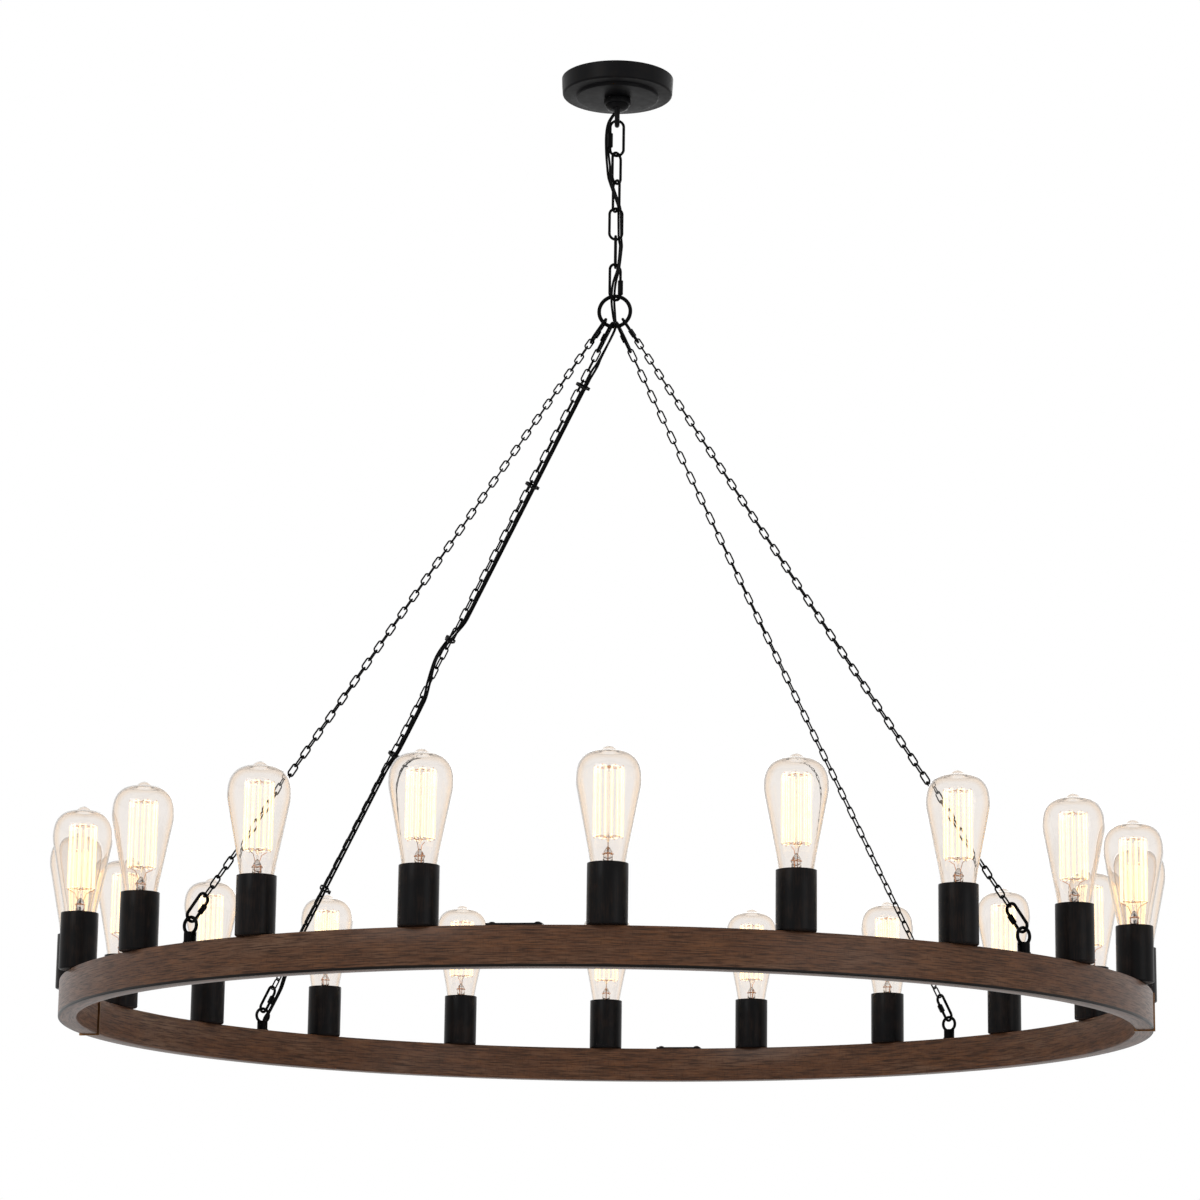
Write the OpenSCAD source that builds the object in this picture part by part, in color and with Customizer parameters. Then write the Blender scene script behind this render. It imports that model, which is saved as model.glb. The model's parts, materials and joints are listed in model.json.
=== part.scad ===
// Wagon wheel chandelier: a box tube wheel in two halves hung on four long chains
// from a ring, five links and a round ceiling canopy, with twenty lampholders on its rim.
// Units are millimetres. The ceiling plane is z = 0 and everything hangs below it.

/* [Ceiling fixing] */
// Length of the crossbar
crossbar_l = 104; // [96:1:110]
// Width of the crossbar
crossbar_w = 22; // [18:1:24]
// Thickness of the crossbar
crossbar_t = 2; // [1.5:0.1:3]
// Distance between the centres of the two screw slots
slot_spacing = 79.4; // [72:0.1:82]
// Length of each screw slot, end to end
slot_l = 14.5; // [8:0.5:16]
// Width of each screw slot
slot_w = 4.8; // [4:0.1:5.5]
// Outer diameter of the threaded centre tube
nipple_d = 9.7; // [9:0.1:10]
// Bore of the threaded centre tube
nipple_bore = 7; // [6.8:0.1:7.4]
// Shank diameter of the earth screw
earth_screw_d = 4; // [3:0.1:5]

/* [Canopy] */
// Outer diameter of the canopy at the ceiling
canopy_d = 130; // [122:1:150]
// Height of the canopy's side wall
canopy_h = 20; // [18:0.5:26]
// Thickness of the canopy's sheet
canopy_wall = 1.2; // [0.8:0.1:2]
// Diameter of the raised disc under the canopy
disc_d = 96; // [60:1:104]
// Drop of the raised disc below the canopy's face
disc_drop = 3.5; // [2:0.1:5]
// Outer diameter of the collar ring that holds the canopy up
collar_d = 31; // [30:0.1:36]
// Height of the collar ring
collar_h = 7.5; // [5:0.1:9]
// Diameter of the round body of the canopy loop
loop_body_d = 25.6; // [24:0.1:26.5]
// Wire diameter of the canopy loop
loop_wire = 6; // [5:0.1:6.5]
// Bend radius of the canopy loop, to the middle of its wire
loop_r = 8; // [7.8:0.1:8.6]
// Distance from the ceiling to the lowest point of the canopy loop
loop_reach = 58.6; // [58.6:0.1:62]

/* [Centre links] */
// Length of the two quick links in the centre run
quick_l = 46; // [46:0.5:52]
// Width of the two quick links in the centre run
quick_w = 19; // [19:0.1:20]
// Wire diameter of the centre quick links
quick_wire = 3.3; // [3:0.05:3.4]
// Corner diameter of the sleeve nut on a centre quick link
quick_nut_d = 6.8; // [6.4:0.1:7]
// Length of the sleeve nut on a centre quick link
quick_nut_l = 17; // [14:0.5:17]
// Length of the gap in the wire that the sleeve nut closes
quick_gap = 7; // [5:0.5:7.5]
// Length of a plain link
link_l = 40.6; // [40:0.2:48]
// Width of a plain link
link_w = 18; // [17.6:0.1:19]
// Wire diameter of a plain link
link_wire = 3.2; // [2.9:0.05:3.3]
// Play between two links where they bear on each other
link_play = 0.3; // [0.2:0.05:0.5]
// Outer diameter of the ring that the four chains hang from
ring_d = 40.8; // [40.8:0.2:46]
// Wire diameter of that ring
ring_wire = 4.5; // [4.2:0.05:4.6]

/* [Hanging chains] */
// Length of the quick link at the top of each chain
top_quick_l = 41; // [40:0.5:46]
// Width of the quick link at the top of each chain
top_quick_w = 15; // [14.8:0.1:15.4]
// Wire diameter of the top quick links
top_quick_wire = 3.4; // [3.2:0.05:3.45]
// Length of the quick link at the foot of each chain
foot_quick_l = 38; // [36:0.5:44]
// Width of the quick link at the foot of each chain
foot_quick_w = 15; // [14:0.1:16]
// Wire diameter of the foot quick links
foot_quick_wire = 3.3; // [3:0.05:3.4]
// Corner diameter of the nuts on the small quick links
small_nut_d = 6.5; // [6:0.1:6.6]
// Length of the nuts on the small quick links
small_nut_l = 9; // [8:0.5:11]
// Distance that one chain link adds to a chain, before it is shared out evenly
small_step = 13.5; // [12.5:0.1:16]
// Width of a chain link
small_w = 8; // [7.8:0.1:8.6]
// Wire diameter of a chain link
small_wire = 1.8; // [1.6:0.05:1.85]
// Play between two chain links
small_play = 0.2; // [0.1:0.05:0.4]
// Diameter of one strand of the twin lead
strand_d = 2.8; // [2.2:0.1:2.9]
// Width of a cable tie
tie_w = 2.6; // [2:0.1:4]
// Thickness of a cable tie
tie_t = 0.9; // [0.6:0.1:1.2]

/* [Wheel] */
// Drop from the ceiling to the top of the wheel
drop = 1071; // [1060:1:1400]
// Outer diameter of the wheel
wheel_d = 1200; // [1180:2:1300]
// Radial width of the wheel's box tube
tube_w = 20; // [19:0.5:24]
// Height of the wheel's box tube
tube_h = 40; // [38:0.5:50]
// Wall thickness of the box tube
tube_wall = 1.2; // [1:0.1:2]
// Thickness of one joint plate
plate_t = 1.5; // [1:0.1:3]
// Gap between the two plates of a joint
plate_gap = 0.3; // [0.1:0.05:0.5]
// How far a joint plate stands out of the tube
plate_out = 1.5; // [0.5:0.1:3]
// Width of the splice bar inside a joint
splice_w = 14; // [10:0.5:15]
// Height of the splice bar inside a joint
splice_h = 30; // [24:0.5:30.5]
// Length of the splice bar
splice_l = 62; // [56:1:80]
// Shank diameter of the splice screws
splice_screw_d = 4; // [3:0.1:5]
// Outer diameter of an eye bolt's ring
eye_d = 20; // [20:0.1:22]
// Wire diameter of an eye bolt's ring
eye_wire = 3.5; // [3.2:0.05:3.6]
// Shank diameter of an eye bolt
eye_shank = 4; // [3.6:0.1:4.2]
// Diameter of the coupling under an eye
coupling_d = 12.6; // [12.4:0.1:14]
// Height of the coupling with its flange
coupling_h = 11.5; // [10:0.1:12]
// Length of an access cover
cover_l = 55; // [52:1:70]
// Width of an access cover
cover_w = 16; // [14:0.5:18]
// Thickness of an access cover
cover_t = 2; // [1:0.1:3]
// Distance between the two screws of an access cover
cover_pitch = 44.5; // [43:0.5:46]
// Length of the access opening behind a cover
access_l = 36; // [20:1:36]
// Width of the access opening behind a cover
access_w = 12; // [8:0.5:13]
// Shank diameter of the cover screws
cover_screw_d = 3.8; // [3:0.1:4]

/* [Lamps] */
// Outer diameter of a socket sleeve
sleeve_d = 40; // [39:0.5:44]
// Height of a socket sleeve
sleeve_h = 60.5; // [60:0.5:66]
// Wall thickness of a socket sleeve
sleeve_wall = 1.2; // [0.8:0.1:1.3]
// Thickness of a socket sleeve's floor
sleeve_floor = 2; // [1.5:0.1:3]
// Outer diameter of the threaded tube under a lampholder
lamp_nipple_d = 9.8; // [9:0.1:10.4]
// Bore of the threaded tube under a lampholder
lamp_nipple_bore = 7; // [6:0.1:7.5]
// Outer diameter of a lampholder
holder_d = 34; // [32:0.5:36]
// Height of a lampholder
holder_h = 54; // [50:0.5:54]
// Depth of the lampholder's screw shell
holder_depth = 23.5; // [22:0.5:23.5]
// Outer diameter of a bulb's screw base
base_d = 26; // [25:0.1:26.3]
// Largest diameter of a bulb
bulb_d = 64; // [60:0.5:66]
// Total length of a bulb
bulb_l = 142; // [138:0.5:146]
// Thickness of the bulb's glass
glass_wall = 0.9; // [0.6:0.1:1.2]
// Width of the filament cage
cage_d = 28; // [20:0.5:32]

/* [Hidden] */
// Number of lamps, evenly spaced; each bulb has a name of its own
lamp_count = 20;
// Angle of the two joints of the wheel, from the +X axis
joint_turn = -9;
// Angles of the four chains around the wheel: back right, back left, front left, front right
anchor_turns = [45, 135, 225, 315];
// Places of the four chains on the ring, as turns from its lowest point
hook_turns = [14, -14, -42.5, 42];
// Turn of each eye bolt from the wheel's tangent
eye_turns = [8, -12, 8, -8];
// Turns about Z of the four plain links, of the lower quick link and of the ring
link_turns = [50, -60, 5, 88];
quick_turn = 38;
ring_turn = -8;
// Chain and anchor that carry the twin lead
lead_chain = 1;

// Running clearances
fit_gap = 0.1;
thread_gap = 0.1;
bore_gap = 0.3;
touch_gap = 0.1;
slice = 0.5;

// Ceiling fixing
nipple_top = -0.2;
nut_t = 3;
nut_key = 13;
loop_body_top = -14;
loop_body_h = 22;
loop_cone_h = 2;
loop_neck_d = 14;
nipple_seat = 12;
nipple_foot = loop_body_top - nipple_seat + 1;
lead_bore = nipple_bore;
earth_screw_x = 22;
earth_head_d = 7.6;
earth_head_h = 2.4;
canopy_low = -canopy_h - disc_drop;
canopy_hole_r = loop_body_d / 2 + 0.7;
canopy_taper = 1;
canopy_edge_r = 2.5;
disc_edge_r = 1.5;
collar_top = canopy_low - bore_gap;
collar_bore_r = loop_body_d / 2 + bore_gap;
collar_edge_r = 1.5;
loop_wire_z = loop_wire / 2 - loop_reach;
loop_bend_z = loop_wire_z + loop_r;
loop_leg_top = loop_body_top - loop_body_h - loop_cone_h + 1;

// Centre run, from the loop down: the top of each link's outline
quick_top = loop_wire - loop_reach + link_play + quick_wire;
quick_seat = quick_top - quick_l + quick_wire;
link_step = link_l - 2 * link_wire - link_play;
link_top = quick_seat + link_play + link_wire;
lower_top = link_top - 3 * link_step - link_l + link_wire + link_play + quick_wire;
lower_seat = lower_top - quick_l + quick_wire;
ring_play = 0.5;
ring_r = (ring_d - ring_wire) / 2;
ring_z = lower_seat + ring_play + ring_wire - ring_d / 2;
quick_r = (quick_w - quick_wire) / 2;
upper_nut_drop = quick_nut_l;
lower_nut_drop = quick_nut_l + 2.5;
gap_in_nut = 9;
nut_bore_gap = 0.1;

// Wheel
wheel_r = wheel_d / 2;
tube_mid = wheel_r - tube_w / 2;
tube_in = wheel_r - tube_w;
wheel_top = -drop;
wheel_foot = wheel_top - tube_h;
wall_top = wheel_top - tube_wall;
wall_foot = wheel_foot + tube_wall;
tube_end = plate_gap / 2 + plate_t;
splice_screw_x = splice_l / 2 - 10;
splice_screw_l = 14;
splice_head_d = splice_screw_d * 1.9;
eye_r = (eye_d - eye_wire) / 2;
eye_sink = 1.5;
eye_z = wheel_top + coupling_h - eye_sink + eye_r;
coupling_flange_d = coupling_d + 1.6;
coupling_flange_t = 1.5;
strip_w = 4.6;
strip_l = 16;
strip_t = 3;
shank_out = 3;
strand_hole_d = strand_d + 0.2;
access_turns = [-98.6, 81];
screw_head_h = 2.2;
screw_grip = 3;

// Lamps
lamp_step = 360 / lamp_count;
lamp_turn = -90;
sleeve_hole_d = lamp_nipple_d + 0.6;
sleeve_edge_r = 2;
lamp_nipple_top = 14;
lamp_nipple_foot = -8;
lamp_nut_t = 3.5;
lamp_nut_key = 13;
holder_z = wheel_top + sleeve_floor;
holder_top = holder_z + holder_h;
holder_bore_r = base_d / 2 + 0.5;
bulb_foot = holder_top - holder_depth + 0.5;
bulb_tip = bulb_foot + bulb_l;
base_h = 24;
base_pitch = 3.6;
neck_r = base_d / 2 + 4;
shoulder_h = 33;
blend_h = 8;
cone_slope = 0.2;
tip_h = 5;
tip_r = 8.4;
dome_power = 2.4;
cage_top = 20;
cage_foot = 88;
cage_count = 10;
filament_d = 0.9;
cage_rod_d = 2.4;
hook_d = 0.6;
hook_in = 1;
stem_r = 5;
stem_top = 99;

// Wiring inside the wheel: two ring wires on the tube's floor and two leads to each lampholder
ring_lead_d = 3.2;
ring_lead_r = [tube_in + tube_wall + 2.3, wheel_r - tube_wall - 2.3];
ring_lead_z = wall_foot + ring_lead_d / 2;
lamp_lead_d = 1.6;
lamp_lead_x = 1.7;
lamp_lead_seat = 0.2;

// Route of the twin lead, in three stretches. Each point gives the middle of the two
// strands and the turn of the line from the first strand to the second.
half_pair = 1.6;
// Down from the crossbar and through the centre run: x, y, z, turn
upper_route = [
    [0, 0, -3, 90], [0, 0, -37.5, 90], [-3.6, 0.6, -42, 86], [-9.9, 2.6, -53, 75],
    [-11.6, 4.6, -68, 50], [-11, 3.6, -88, 35], [-9.3, 0.6, -106, 0], [-7.8, -0.6, -122, -50],
    [3, 3.8, -152, -60], [4.2, 6, -160, -30], [5, 5.6, -192, 20], [6.2, 3.6, -202, 45],
    [3.6, -3, -231, 60], [-1, 1.8, -248, 20], [-2.3, 6, -267, 0], [-0.6, 6, -286, -45],
    [0.6, 6.6, -301, -90]
];
// Along the chain, in the chain's own frame: x, y, distance down the chain, turn
chain_route = [
    [-5.6, -3.2, 38, -30], [-6.6, -2.4, 47, 0], [-6.4, -1.4, 56, 50], [-6.1, -1.4, 66, 90],
    [-6.3, -1.2, 390, 90], [-4.6, 4.8, 415, 44], [0.6, 6.6, 440, -5], [0.6, 6.6, 456, -5],
    [-4.6, 4.8, 481, 44], [-6.2, 0, 504, 90], [-6.2, 0, 572, 90], [-5.3, 3.6, 604, 56],
    [-5.3, 3.6, 866, 56], [-6.2, -0.4, 888, 90], [-6.2, -3.2, 902, 95],
    [-6, -5.6, 914, 100], [-5.4, -6.8, 930, 110]
];
// Into the coupling: outward, sideways and up from the anchor on the wheel, turn
entry_route = [
    [-10.5, -6, 30, 115], [-7.4, -4.4, 23.5, 115], [-5.2, -1.8, 18, 105],
    [-4.1, -0.3, 14, 95], [-3.9, 0, 11, 90], [-3.9, 0, -6, 90]
];
strand_sides = 8;
// Cable ties: distance down the chain, turn about it, and turn of the lock about the strap
tie_places = [
    [78, 13, 180], [211, 13, 180], [423, -62, 0], [582, -8, 180], [773, -34, 180],
    [878, -20, 180]
];

// ---- Functions ----

// Turn a point about Z, and about Y
function turn_z(p, a) = [p.x * cos(a) - p.y * sin(a), p.x * sin(a) + p.y * cos(a), p.z];
function turn_y(p, a) = [p.x * cos(a) + p.z * sin(a), p.y, p.z * cos(a) - p.x * sin(a)];
// Bring an angle into the half turn around zero
function half_turn(a) = a - 180 * round(a / 180);
// Points of an arc from angle a to angle b, n steps
function arc(x, y, r, a, b, n = 6) =
    [for (i = [0:n]) [x + r * cos(a + (b - a) * i / n), y + r * sin(a + (b - a) * i / n)]];

// One chain: where it leaves the ring, where it reaches its eye, and its direction
function hook_point(i) = [
    ring_r * sin(hook_turns[i]) * cos(ring_turn),
    ring_r * sin(hook_turns[i]) * sin(ring_turn),
    ring_z - ring_r * cos(hook_turns[i])
];
function eye_point(i) = turn_z([tube_mid, 0, eye_z + eye_r], anchor_turns[i]);
function chain_run(i) = eye_point(i) - hook_point(i);
function chain_length(i) = norm(chain_run(i));
function chain_azimuth(i) = atan2(chain_run(i).y, chain_run(i).x);
function chain_tilt(i) = atan2(norm([chain_run(i).x, chain_run(i).y]), -chain_run(i).z);
// A point of the chain's own frame in the frame of the whole object
function from_chain(p, i) =
    turn_z(turn_y(p, -chain_tilt(i)), chain_azimuth(i)) + hook_point(i);
// Turn of the top quick link, square to the ring where it hangs
function ring_tangent(i) = [
    cos(hook_turns[i]) * cos(ring_turn), cos(hook_turns[i]) * sin(ring_turn), sin(hook_turns[i])
];
function tangent_in_chain(i) = turn_y(turn_z(ring_tangent(i), -chain_azimuth(i)), chain_tilt(i));
function top_roll(i) = half_turn(atan2(-tangent_in_chain(i).x, tangent_in_chain(i).y));
// Start and end of the small links along a chain, and how many there are
top_quick_start = -(ring_wire / 2 + top_quick_wire + link_play);
small_start = top_quick_start + top_quick_l - top_quick_wire - small_play - small_wire;
function foot_quick_end(i) = chain_length(i) + eye_wire / 2 + link_play + foot_quick_wire;
function small_end(i) = foot_quick_end(i) - foot_quick_l + foot_quick_wire
    + small_play + small_wire;
function small_run(i) = small_end(i) - small_start - 2 * small_wire - small_play;
function small_count(i) = round(small_run(i) / small_step);
function small_pitch(i) = small_run(i) / small_count(i);
// Turn from each small link to the next: a quarter turn and the share that makes them end square
function small_turn(i) = 90 - half_turn(top_roll(i) + 90 * ((small_count(i) - 1) % 2))
    / (small_count(i) - 1);

// The points of one strand of the lead: side is 1 or -1
function pair_offset(turn, side) = side * half_pair * [cos(turn), sin(turn), 0];
function strand_points(side) = concat(
    [for (p = upper_route) [p.x, p.y, p.z] + pair_offset(p[3], side)],
    [for (p = chain_route)
        from_chain([p.x, p.y, 0] - pair_offset(p[3], side) - [0, 0, p.z], lead_chain)],
    [for (p = entry_route)
        turn_z([tube_mid + p.x, p.y, wheel_top + p.z] - pair_offset(p[3], side),
            anchor_turns[lead_chain])]
);

// Directions along a route, and a side direction carried along it with no twist
function unit(v) = v / norm(v);
function heading(pts, i) =
    i == 0 ? unit(pts[1] - pts[0])
    : i == len(pts) - 1 ? unit(pts[i] - pts[i - 1])
    : unit(unit(pts[i] - pts[i - 1]) + unit(pts[i + 1] - pts[i]));
function carried(side, dir) = unit(side - (side * dir) * dir);
function sides_along(pts, i = 0, side = [1, 0.2, 0]) =
    let (s = carried(side, heading(pts, i)))
    i == len(pts) - 1 ? [s] : concat([s], sides_along(pts, i + 1, s));

// ---- Shapes that repeat ----

// A tube swept along points, closed at both ends
module swept_tube(pts, d, sides = strand_sides) {
    across = sides_along(pts);
    n = len(pts);
    rings = [for (i = [0:n - 1]) for (k = [0:sides - 1])
        let (s = across[i], u = cross(heading(pts, i), s), a = 360 * k / sides)
        pts[i] + d / 2 * (cos(a) * s + sin(a) * u)];
    walls = [for (i = [0:n - 2]) for (k = [0:sides - 1])
        let (a = i * sides + k, b = i * sides + (k + 1) % sides)
        [a, a + sides, b + sides, b]];
    ends = [[for (k = [0:sides - 1]) k], [for (k = [sides - 1:-1:0]) (n - 1) * sides + k]];
    polyhedron(rings, concat(walls, ends));
}

// A closed oval link, upright in the XZ plane and centred on the origin
module oval_link(l, w, wire) {
    r = (w - wire) / 2;
    straight = l - w;
    for (side = [-1, 1]) {
        translate([side * r, 0, -straight / 2])
            cylinder(d = wire, h = straight, $fn = 32);
        translate([0, 0, side * straight / 2])
            rotate([90, 0, 0])
                rotate([0, 0, side > 0 ? 0 : 180])
                    rotate_extrude(angle = 180, $fn = 48)
                        translate([r, 0])
                            circle(d = wire, $fn = 24);
    }
}

// An oval link whose leg on one side is open over a short gap that starts gap_drop below its top
module quick_link(l, w, wire, side, gap_drop, gap_l) {
    difference() {
        oval_link(l, w, wire);
        translate([side * (w - wire) / 2, 0, l / 2 - gap_drop - gap_l / 2])
            cube([wire + 1, wire + 1, gap_l], center = true);
    }
}

// The six-sided nut that closes a quick link, centred on the origin
module sleeve_nut(d, wire, l) {
    difference() {
        cylinder(d = d, h = l, center = true, $fn = 6);
        cylinder(d = wire + 2 * nut_bore_gap, h = l + 1, center = true, $fn = 32);
    }
}

// A six-sided nut with its bore
module hex_nut(key, bore, h) {
    difference() {
        cylinder(d = key / cos(30), h = h, $fn = 6);
        translate([0, 0, -slice])
            cylinder(d = bore, h = h + 2 * slice, $fn = 40);
    }
}

// A ring of round wire, upright in the XZ plane
module wire_ring(r, wire) {
    rotate([90, 0, 0])
        rotate_extrude($fn = 64)
            translate([r, 0])
                circle(d = wire, $fn = 32);
}

// A screw with a low round head; its head sits on z = 0 and its shank points down
module round_screw(d, l, head_d, head_h) {
    rotate_extrude($fn = 40)
        polygon(concat(
            [[0, -l], [d / 2, -l], [d / 2, 0], [head_d / 2, 0]],
            [for (a = [15:15:90]) [head_d / 2 * cos(a), head_h * sin(a)]]));
}

// Put children at one chain's ring end, with -Z pointing down the chain
module chain_frame(i) {
    translate(hook_point(i))
        rotate([0, -chain_tilt(i), chain_azimuth(i)])
            children();
}

// Put children at every lamp, or at every chain anchor, on the top of the wheel
module at_lamps() {
    for (i = [0:lamp_count - 1])
        rotate([0, 0, lamp_turn + i * lamp_step])
            translate([tube_mid, 0, wheel_top])
                children();
}

module at_anchors() {
    for (a = anchor_turns)
        rotate([0, 0, a])
            translate([tube_mid, 0, wheel_top])
                children();
}

// Put children at both joints of the wheel, on the top of the tube
module at_joints() {
    for (a = [joint_turn, joint_turn + 180])
        rotate([0, 0, a])
            translate([tube_mid, 0, wheel_top])
                children();
}

// ---- Ceiling fixing ----

module crossbar() {
    color("silver")
    translate([0, 0, -crossbar_t])
        difference() {
            translate([-crossbar_l / 2, -crossbar_w / 2, 0])
                cube([crossbar_l, crossbar_w, crossbar_t]);
            for (side = [-1, 1])
                translate([side * slot_spacing / 2, 0, 0])
                    screw_slot();
            translate([0, 0, -slice])
                cylinder(d = nipple_d + 2 * fit_gap, h = crossbar_t + 2 * slice, $fn = 48);
            translate([earth_screw_x, 0, -slice])
                cylinder(d = earth_screw_d + 2 * fit_gap, h = crossbar_t + 2 * slice, $fn = 32);
        }
}

// A slot through the crossbar, round at both ends
module screw_slot() {
    run = slot_l - slot_w;
    for (end = [-1, 1])
        translate([end * run / 2, 0, -slice])
            cylinder(d = slot_w, h = crossbar_t + 2 * slice, $fn = 32);
    translate([-run / 2, -slot_w / 2, -slice])
        cube([run, slot_w, crossbar_t + 2 * slice]);
}

module earth_screw() {
    color("green")
    translate([earth_screw_x, 0, -crossbar_t])
        mirror([0, 0, 1])
            round_screw(earth_screw_d, crossbar_t - touch_gap, earth_head_d, earth_head_h);
}

module nipple() {
    color("goldenrod")
    translate([0, 0, nipple_foot])
        difference() {
            cylinder(d = nipple_d, h = nipple_top - nipple_foot, $fn = 48);
            translate([0, 0, -slice])
                cylinder(d = nipple_bore, h = nipple_top - nipple_foot + 2 * slice, $fn = 48);
        }
}

module nipple_nut() {
    color("goldenrod")
    translate([0, 0, -crossbar_t - nut_t])
        hex_nut(nut_key, nipple_d + 2 * thread_gap, nut_t);
}

module canopy_loop() {
    color("dimgray")
    difference() {
        union() {
            rotate_extrude($fn = 64)
                polygon([
                    [0, loop_body_top], [loop_body_d / 2, loop_body_top],
                    [loop_body_d / 2, loop_body_top - loop_body_h],
                    [loop_neck_d / 2, loop_body_top - loop_body_h - loop_cone_h],
                    [0, loop_body_top - loop_body_h - loop_cone_h]
                ]);
            loop_bow();
        }
        translate([0, 0, loop_body_top - nipple_seat])
            cylinder(d = nipple_d + 2 * thread_gap, h = nipple_seat + slice, $fn = 48);
        translate([0, 0, loop_body_top - loop_body_h - loop_cone_h - slice])
            cylinder(d = lead_bore, h = loop_body_h, $fn = 48);
    }
}

// The U of round bar under the canopy, in the YZ plane
module loop_bow() {
    for (side = [-1, 1])
        translate([0, side * loop_r, loop_bend_z])
            cylinder(d = loop_wire, h = loop_leg_top - loop_bend_z, $fn = 40);
    translate([0, 0, loop_bend_z])
        rotate([90, 0, 90])
            rotate([0, 0, 180])
                rotate_extrude(angle = 180, $fn = 64)
                    translate([loop_r, 0])
                        circle(d = loop_wire, $fn = 32);
}

// ---- Canopy ----

module canopy() {
    outer_r = canopy_d / 2;
    low_r = outer_r - canopy_taper;
    disc_r = disc_d / 2;
    w = canopy_wall;
    e = canopy_edge_r;
    f = disc_edge_r;
    color("black")
    rotate_extrude($fn = 120)
        polygon(concat(
            [[outer_r, 0]],
            arc(low_r - e, e - canopy_h, e, 0, -90),
            [[disc_r, -canopy_h]],
            arc(disc_r - f, f + canopy_low, f, 0, -90),
            [[canopy_hole_r, canopy_low], [canopy_hole_r, canopy_low + w]],
            arc(disc_r - f, f + canopy_low, f - w, -90, 0),
            [[disc_r - w, w - canopy_h]],
            arc(low_r - e, e - canopy_h, e - w, -90, 0),
            [[outer_r - w, 0]]));
}

module collar_ring() {
    r = collar_d / 2;
    e = collar_edge_r;
    color("black")
    translate([0, 0, collar_top - collar_h])
        rotate_extrude($fn = 64)
            polygon(concat(
                [[collar_bore_r, 0]],
                arc(r - e, e, e, -90, 0),
                arc(r - e, collar_h - e, e, 0, 90),
                [[collar_bore_r, collar_h]]));
}

// ---- Centre links ----

module quick_link_upper() {
    color("black")
    translate([0, 0, quick_top - quick_l / 2])
        quick_link(quick_l, quick_w, quick_wire, -1, upper_nut_drop + gap_in_nut, quick_gap);
}

module quick_sleeve_upper() {
    color("black")
    translate([-quick_r, 0, quick_top - upper_nut_drop - quick_nut_l / 2])
        sleeve_nut(quick_nut_d, quick_wire, quick_nut_l);
}

// One of the four plain links, counted from the top
module plain_link(k) {
    color("black")
    translate([0, 0, link_top - k * link_step - link_l / 2])
        rotate([0, 0, link_turns[k]])
            oval_link(link_l, link_w, link_wire);
}

module quick_link_lower() {
    color("black")
    translate([0, 0, lower_top - quick_l / 2])
        rotate([0, 0, quick_turn])
            quick_link(quick_l, quick_w, quick_wire, 1, lower_nut_drop + gap_in_nut, quick_gap);
}

module quick_sleeve_lower() {
    color("black")
    rotate([0, 0, quick_turn])
        translate([quick_r, 0, lower_top - lower_nut_drop - quick_nut_l / 2])
            sleeve_nut(quick_nut_d, quick_wire, quick_nut_l);
}

module center_ring() {
    color("black")
    translate([0, 0, ring_z])
        rotate([0, 0, ring_turn])
            wire_ring(ring_r, ring_wire);
}

// ---- Hanging chains ----

// The small links of one chain, each turned a little past a quarter turn from the one above
module small_chain(i) {
    pitch = small_pitch(i);
    l = pitch + 2 * small_wire + small_play;
    color("black")
    chain_frame(i)
        for (k = [0:small_count(i) - 1])
            translate([0, 0, -(small_start + l / 2 + k * pitch)])
                rotate([0, 0, top_roll(i) + 90 + k * small_turn(i)])
                    oval_link(l, small_w, small_wire);
}

module top_quick_links() {
    color("black")
    for (i = [0:3])
        chain_frame(i)
            translate([0, 0, -(top_quick_start + top_quick_l / 2)])
                rotate([0, 0, top_roll(i)])
                    quick_link(top_quick_l, top_quick_w, top_quick_wire, -1,
                        top_quick_l / 2 - small_nut_l / 2 + 2, small_nut_l - 4);
}

module top_quick_sleeves() {
    color("black")
    for (i = [0:3])
        chain_frame(i)
            translate([0, 0, -(top_quick_start + top_quick_l / 2)])
                rotate([0, 0, top_roll(i)])
                    translate([-(top_quick_w - top_quick_wire) / 2, 0, 0])
                        sleeve_nut(small_nut_d, top_quick_wire, small_nut_l);
}

module foot_quick_links() {
    color("black")
    for (i = [0:3])
        chain_frame(i)
            translate([0, 0, -(foot_quick_end(i) - foot_quick_l / 2)])
                quick_link(foot_quick_l, foot_quick_w, foot_quick_wire, -1,
                    foot_quick_l / 2 - small_nut_l / 2 - 1, small_nut_l - 4);
}

module foot_quick_sleeves() {
    color("black")
    for (i = [0:3])
        chain_frame(i)
            translate([-(foot_quick_w - foot_quick_wire) / 2, 0,
                    -(foot_quick_end(i) - foot_quick_l / 2 - 3)])
                sleeve_nut(small_nut_d, foot_quick_wire, small_nut_l);
}

// ---- Anchors on the wheel ----

// A ring on a shank, with the strip nut inside the tube that holds it
module eye_bolts() {
    shank_foot = wall_top - strip_t - shank_out;
    color("black")
    for (i = [0:3])
        rotate([0, 0, anchor_turns[i]])
            translate([tube_mid, 0, 0]) {
                translate([0, 0, eye_z])
                    rotate([0, 0, 90 + eye_turns[i]])
                        wire_ring(eye_r, eye_wire);
                translate([0, 0, shank_foot])
                    cylinder(d = eye_shank, h = eye_z - eye_r - shank_foot, $fn = 32);
                translate([0, 0, wall_top - strip_t])
                    strip_nut();
            }
}

module strip_nut() {
    difference() {
        translate([-strip_w / 2, -strip_l / 2, 0])
            cube([strip_w, strip_l, strip_t]);
        translate([0, 0, -slice])
            cylinder(d = eye_shank + 2 * thread_gap, h = strip_t + 2 * slice, $fn = 32);
    }
}

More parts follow.
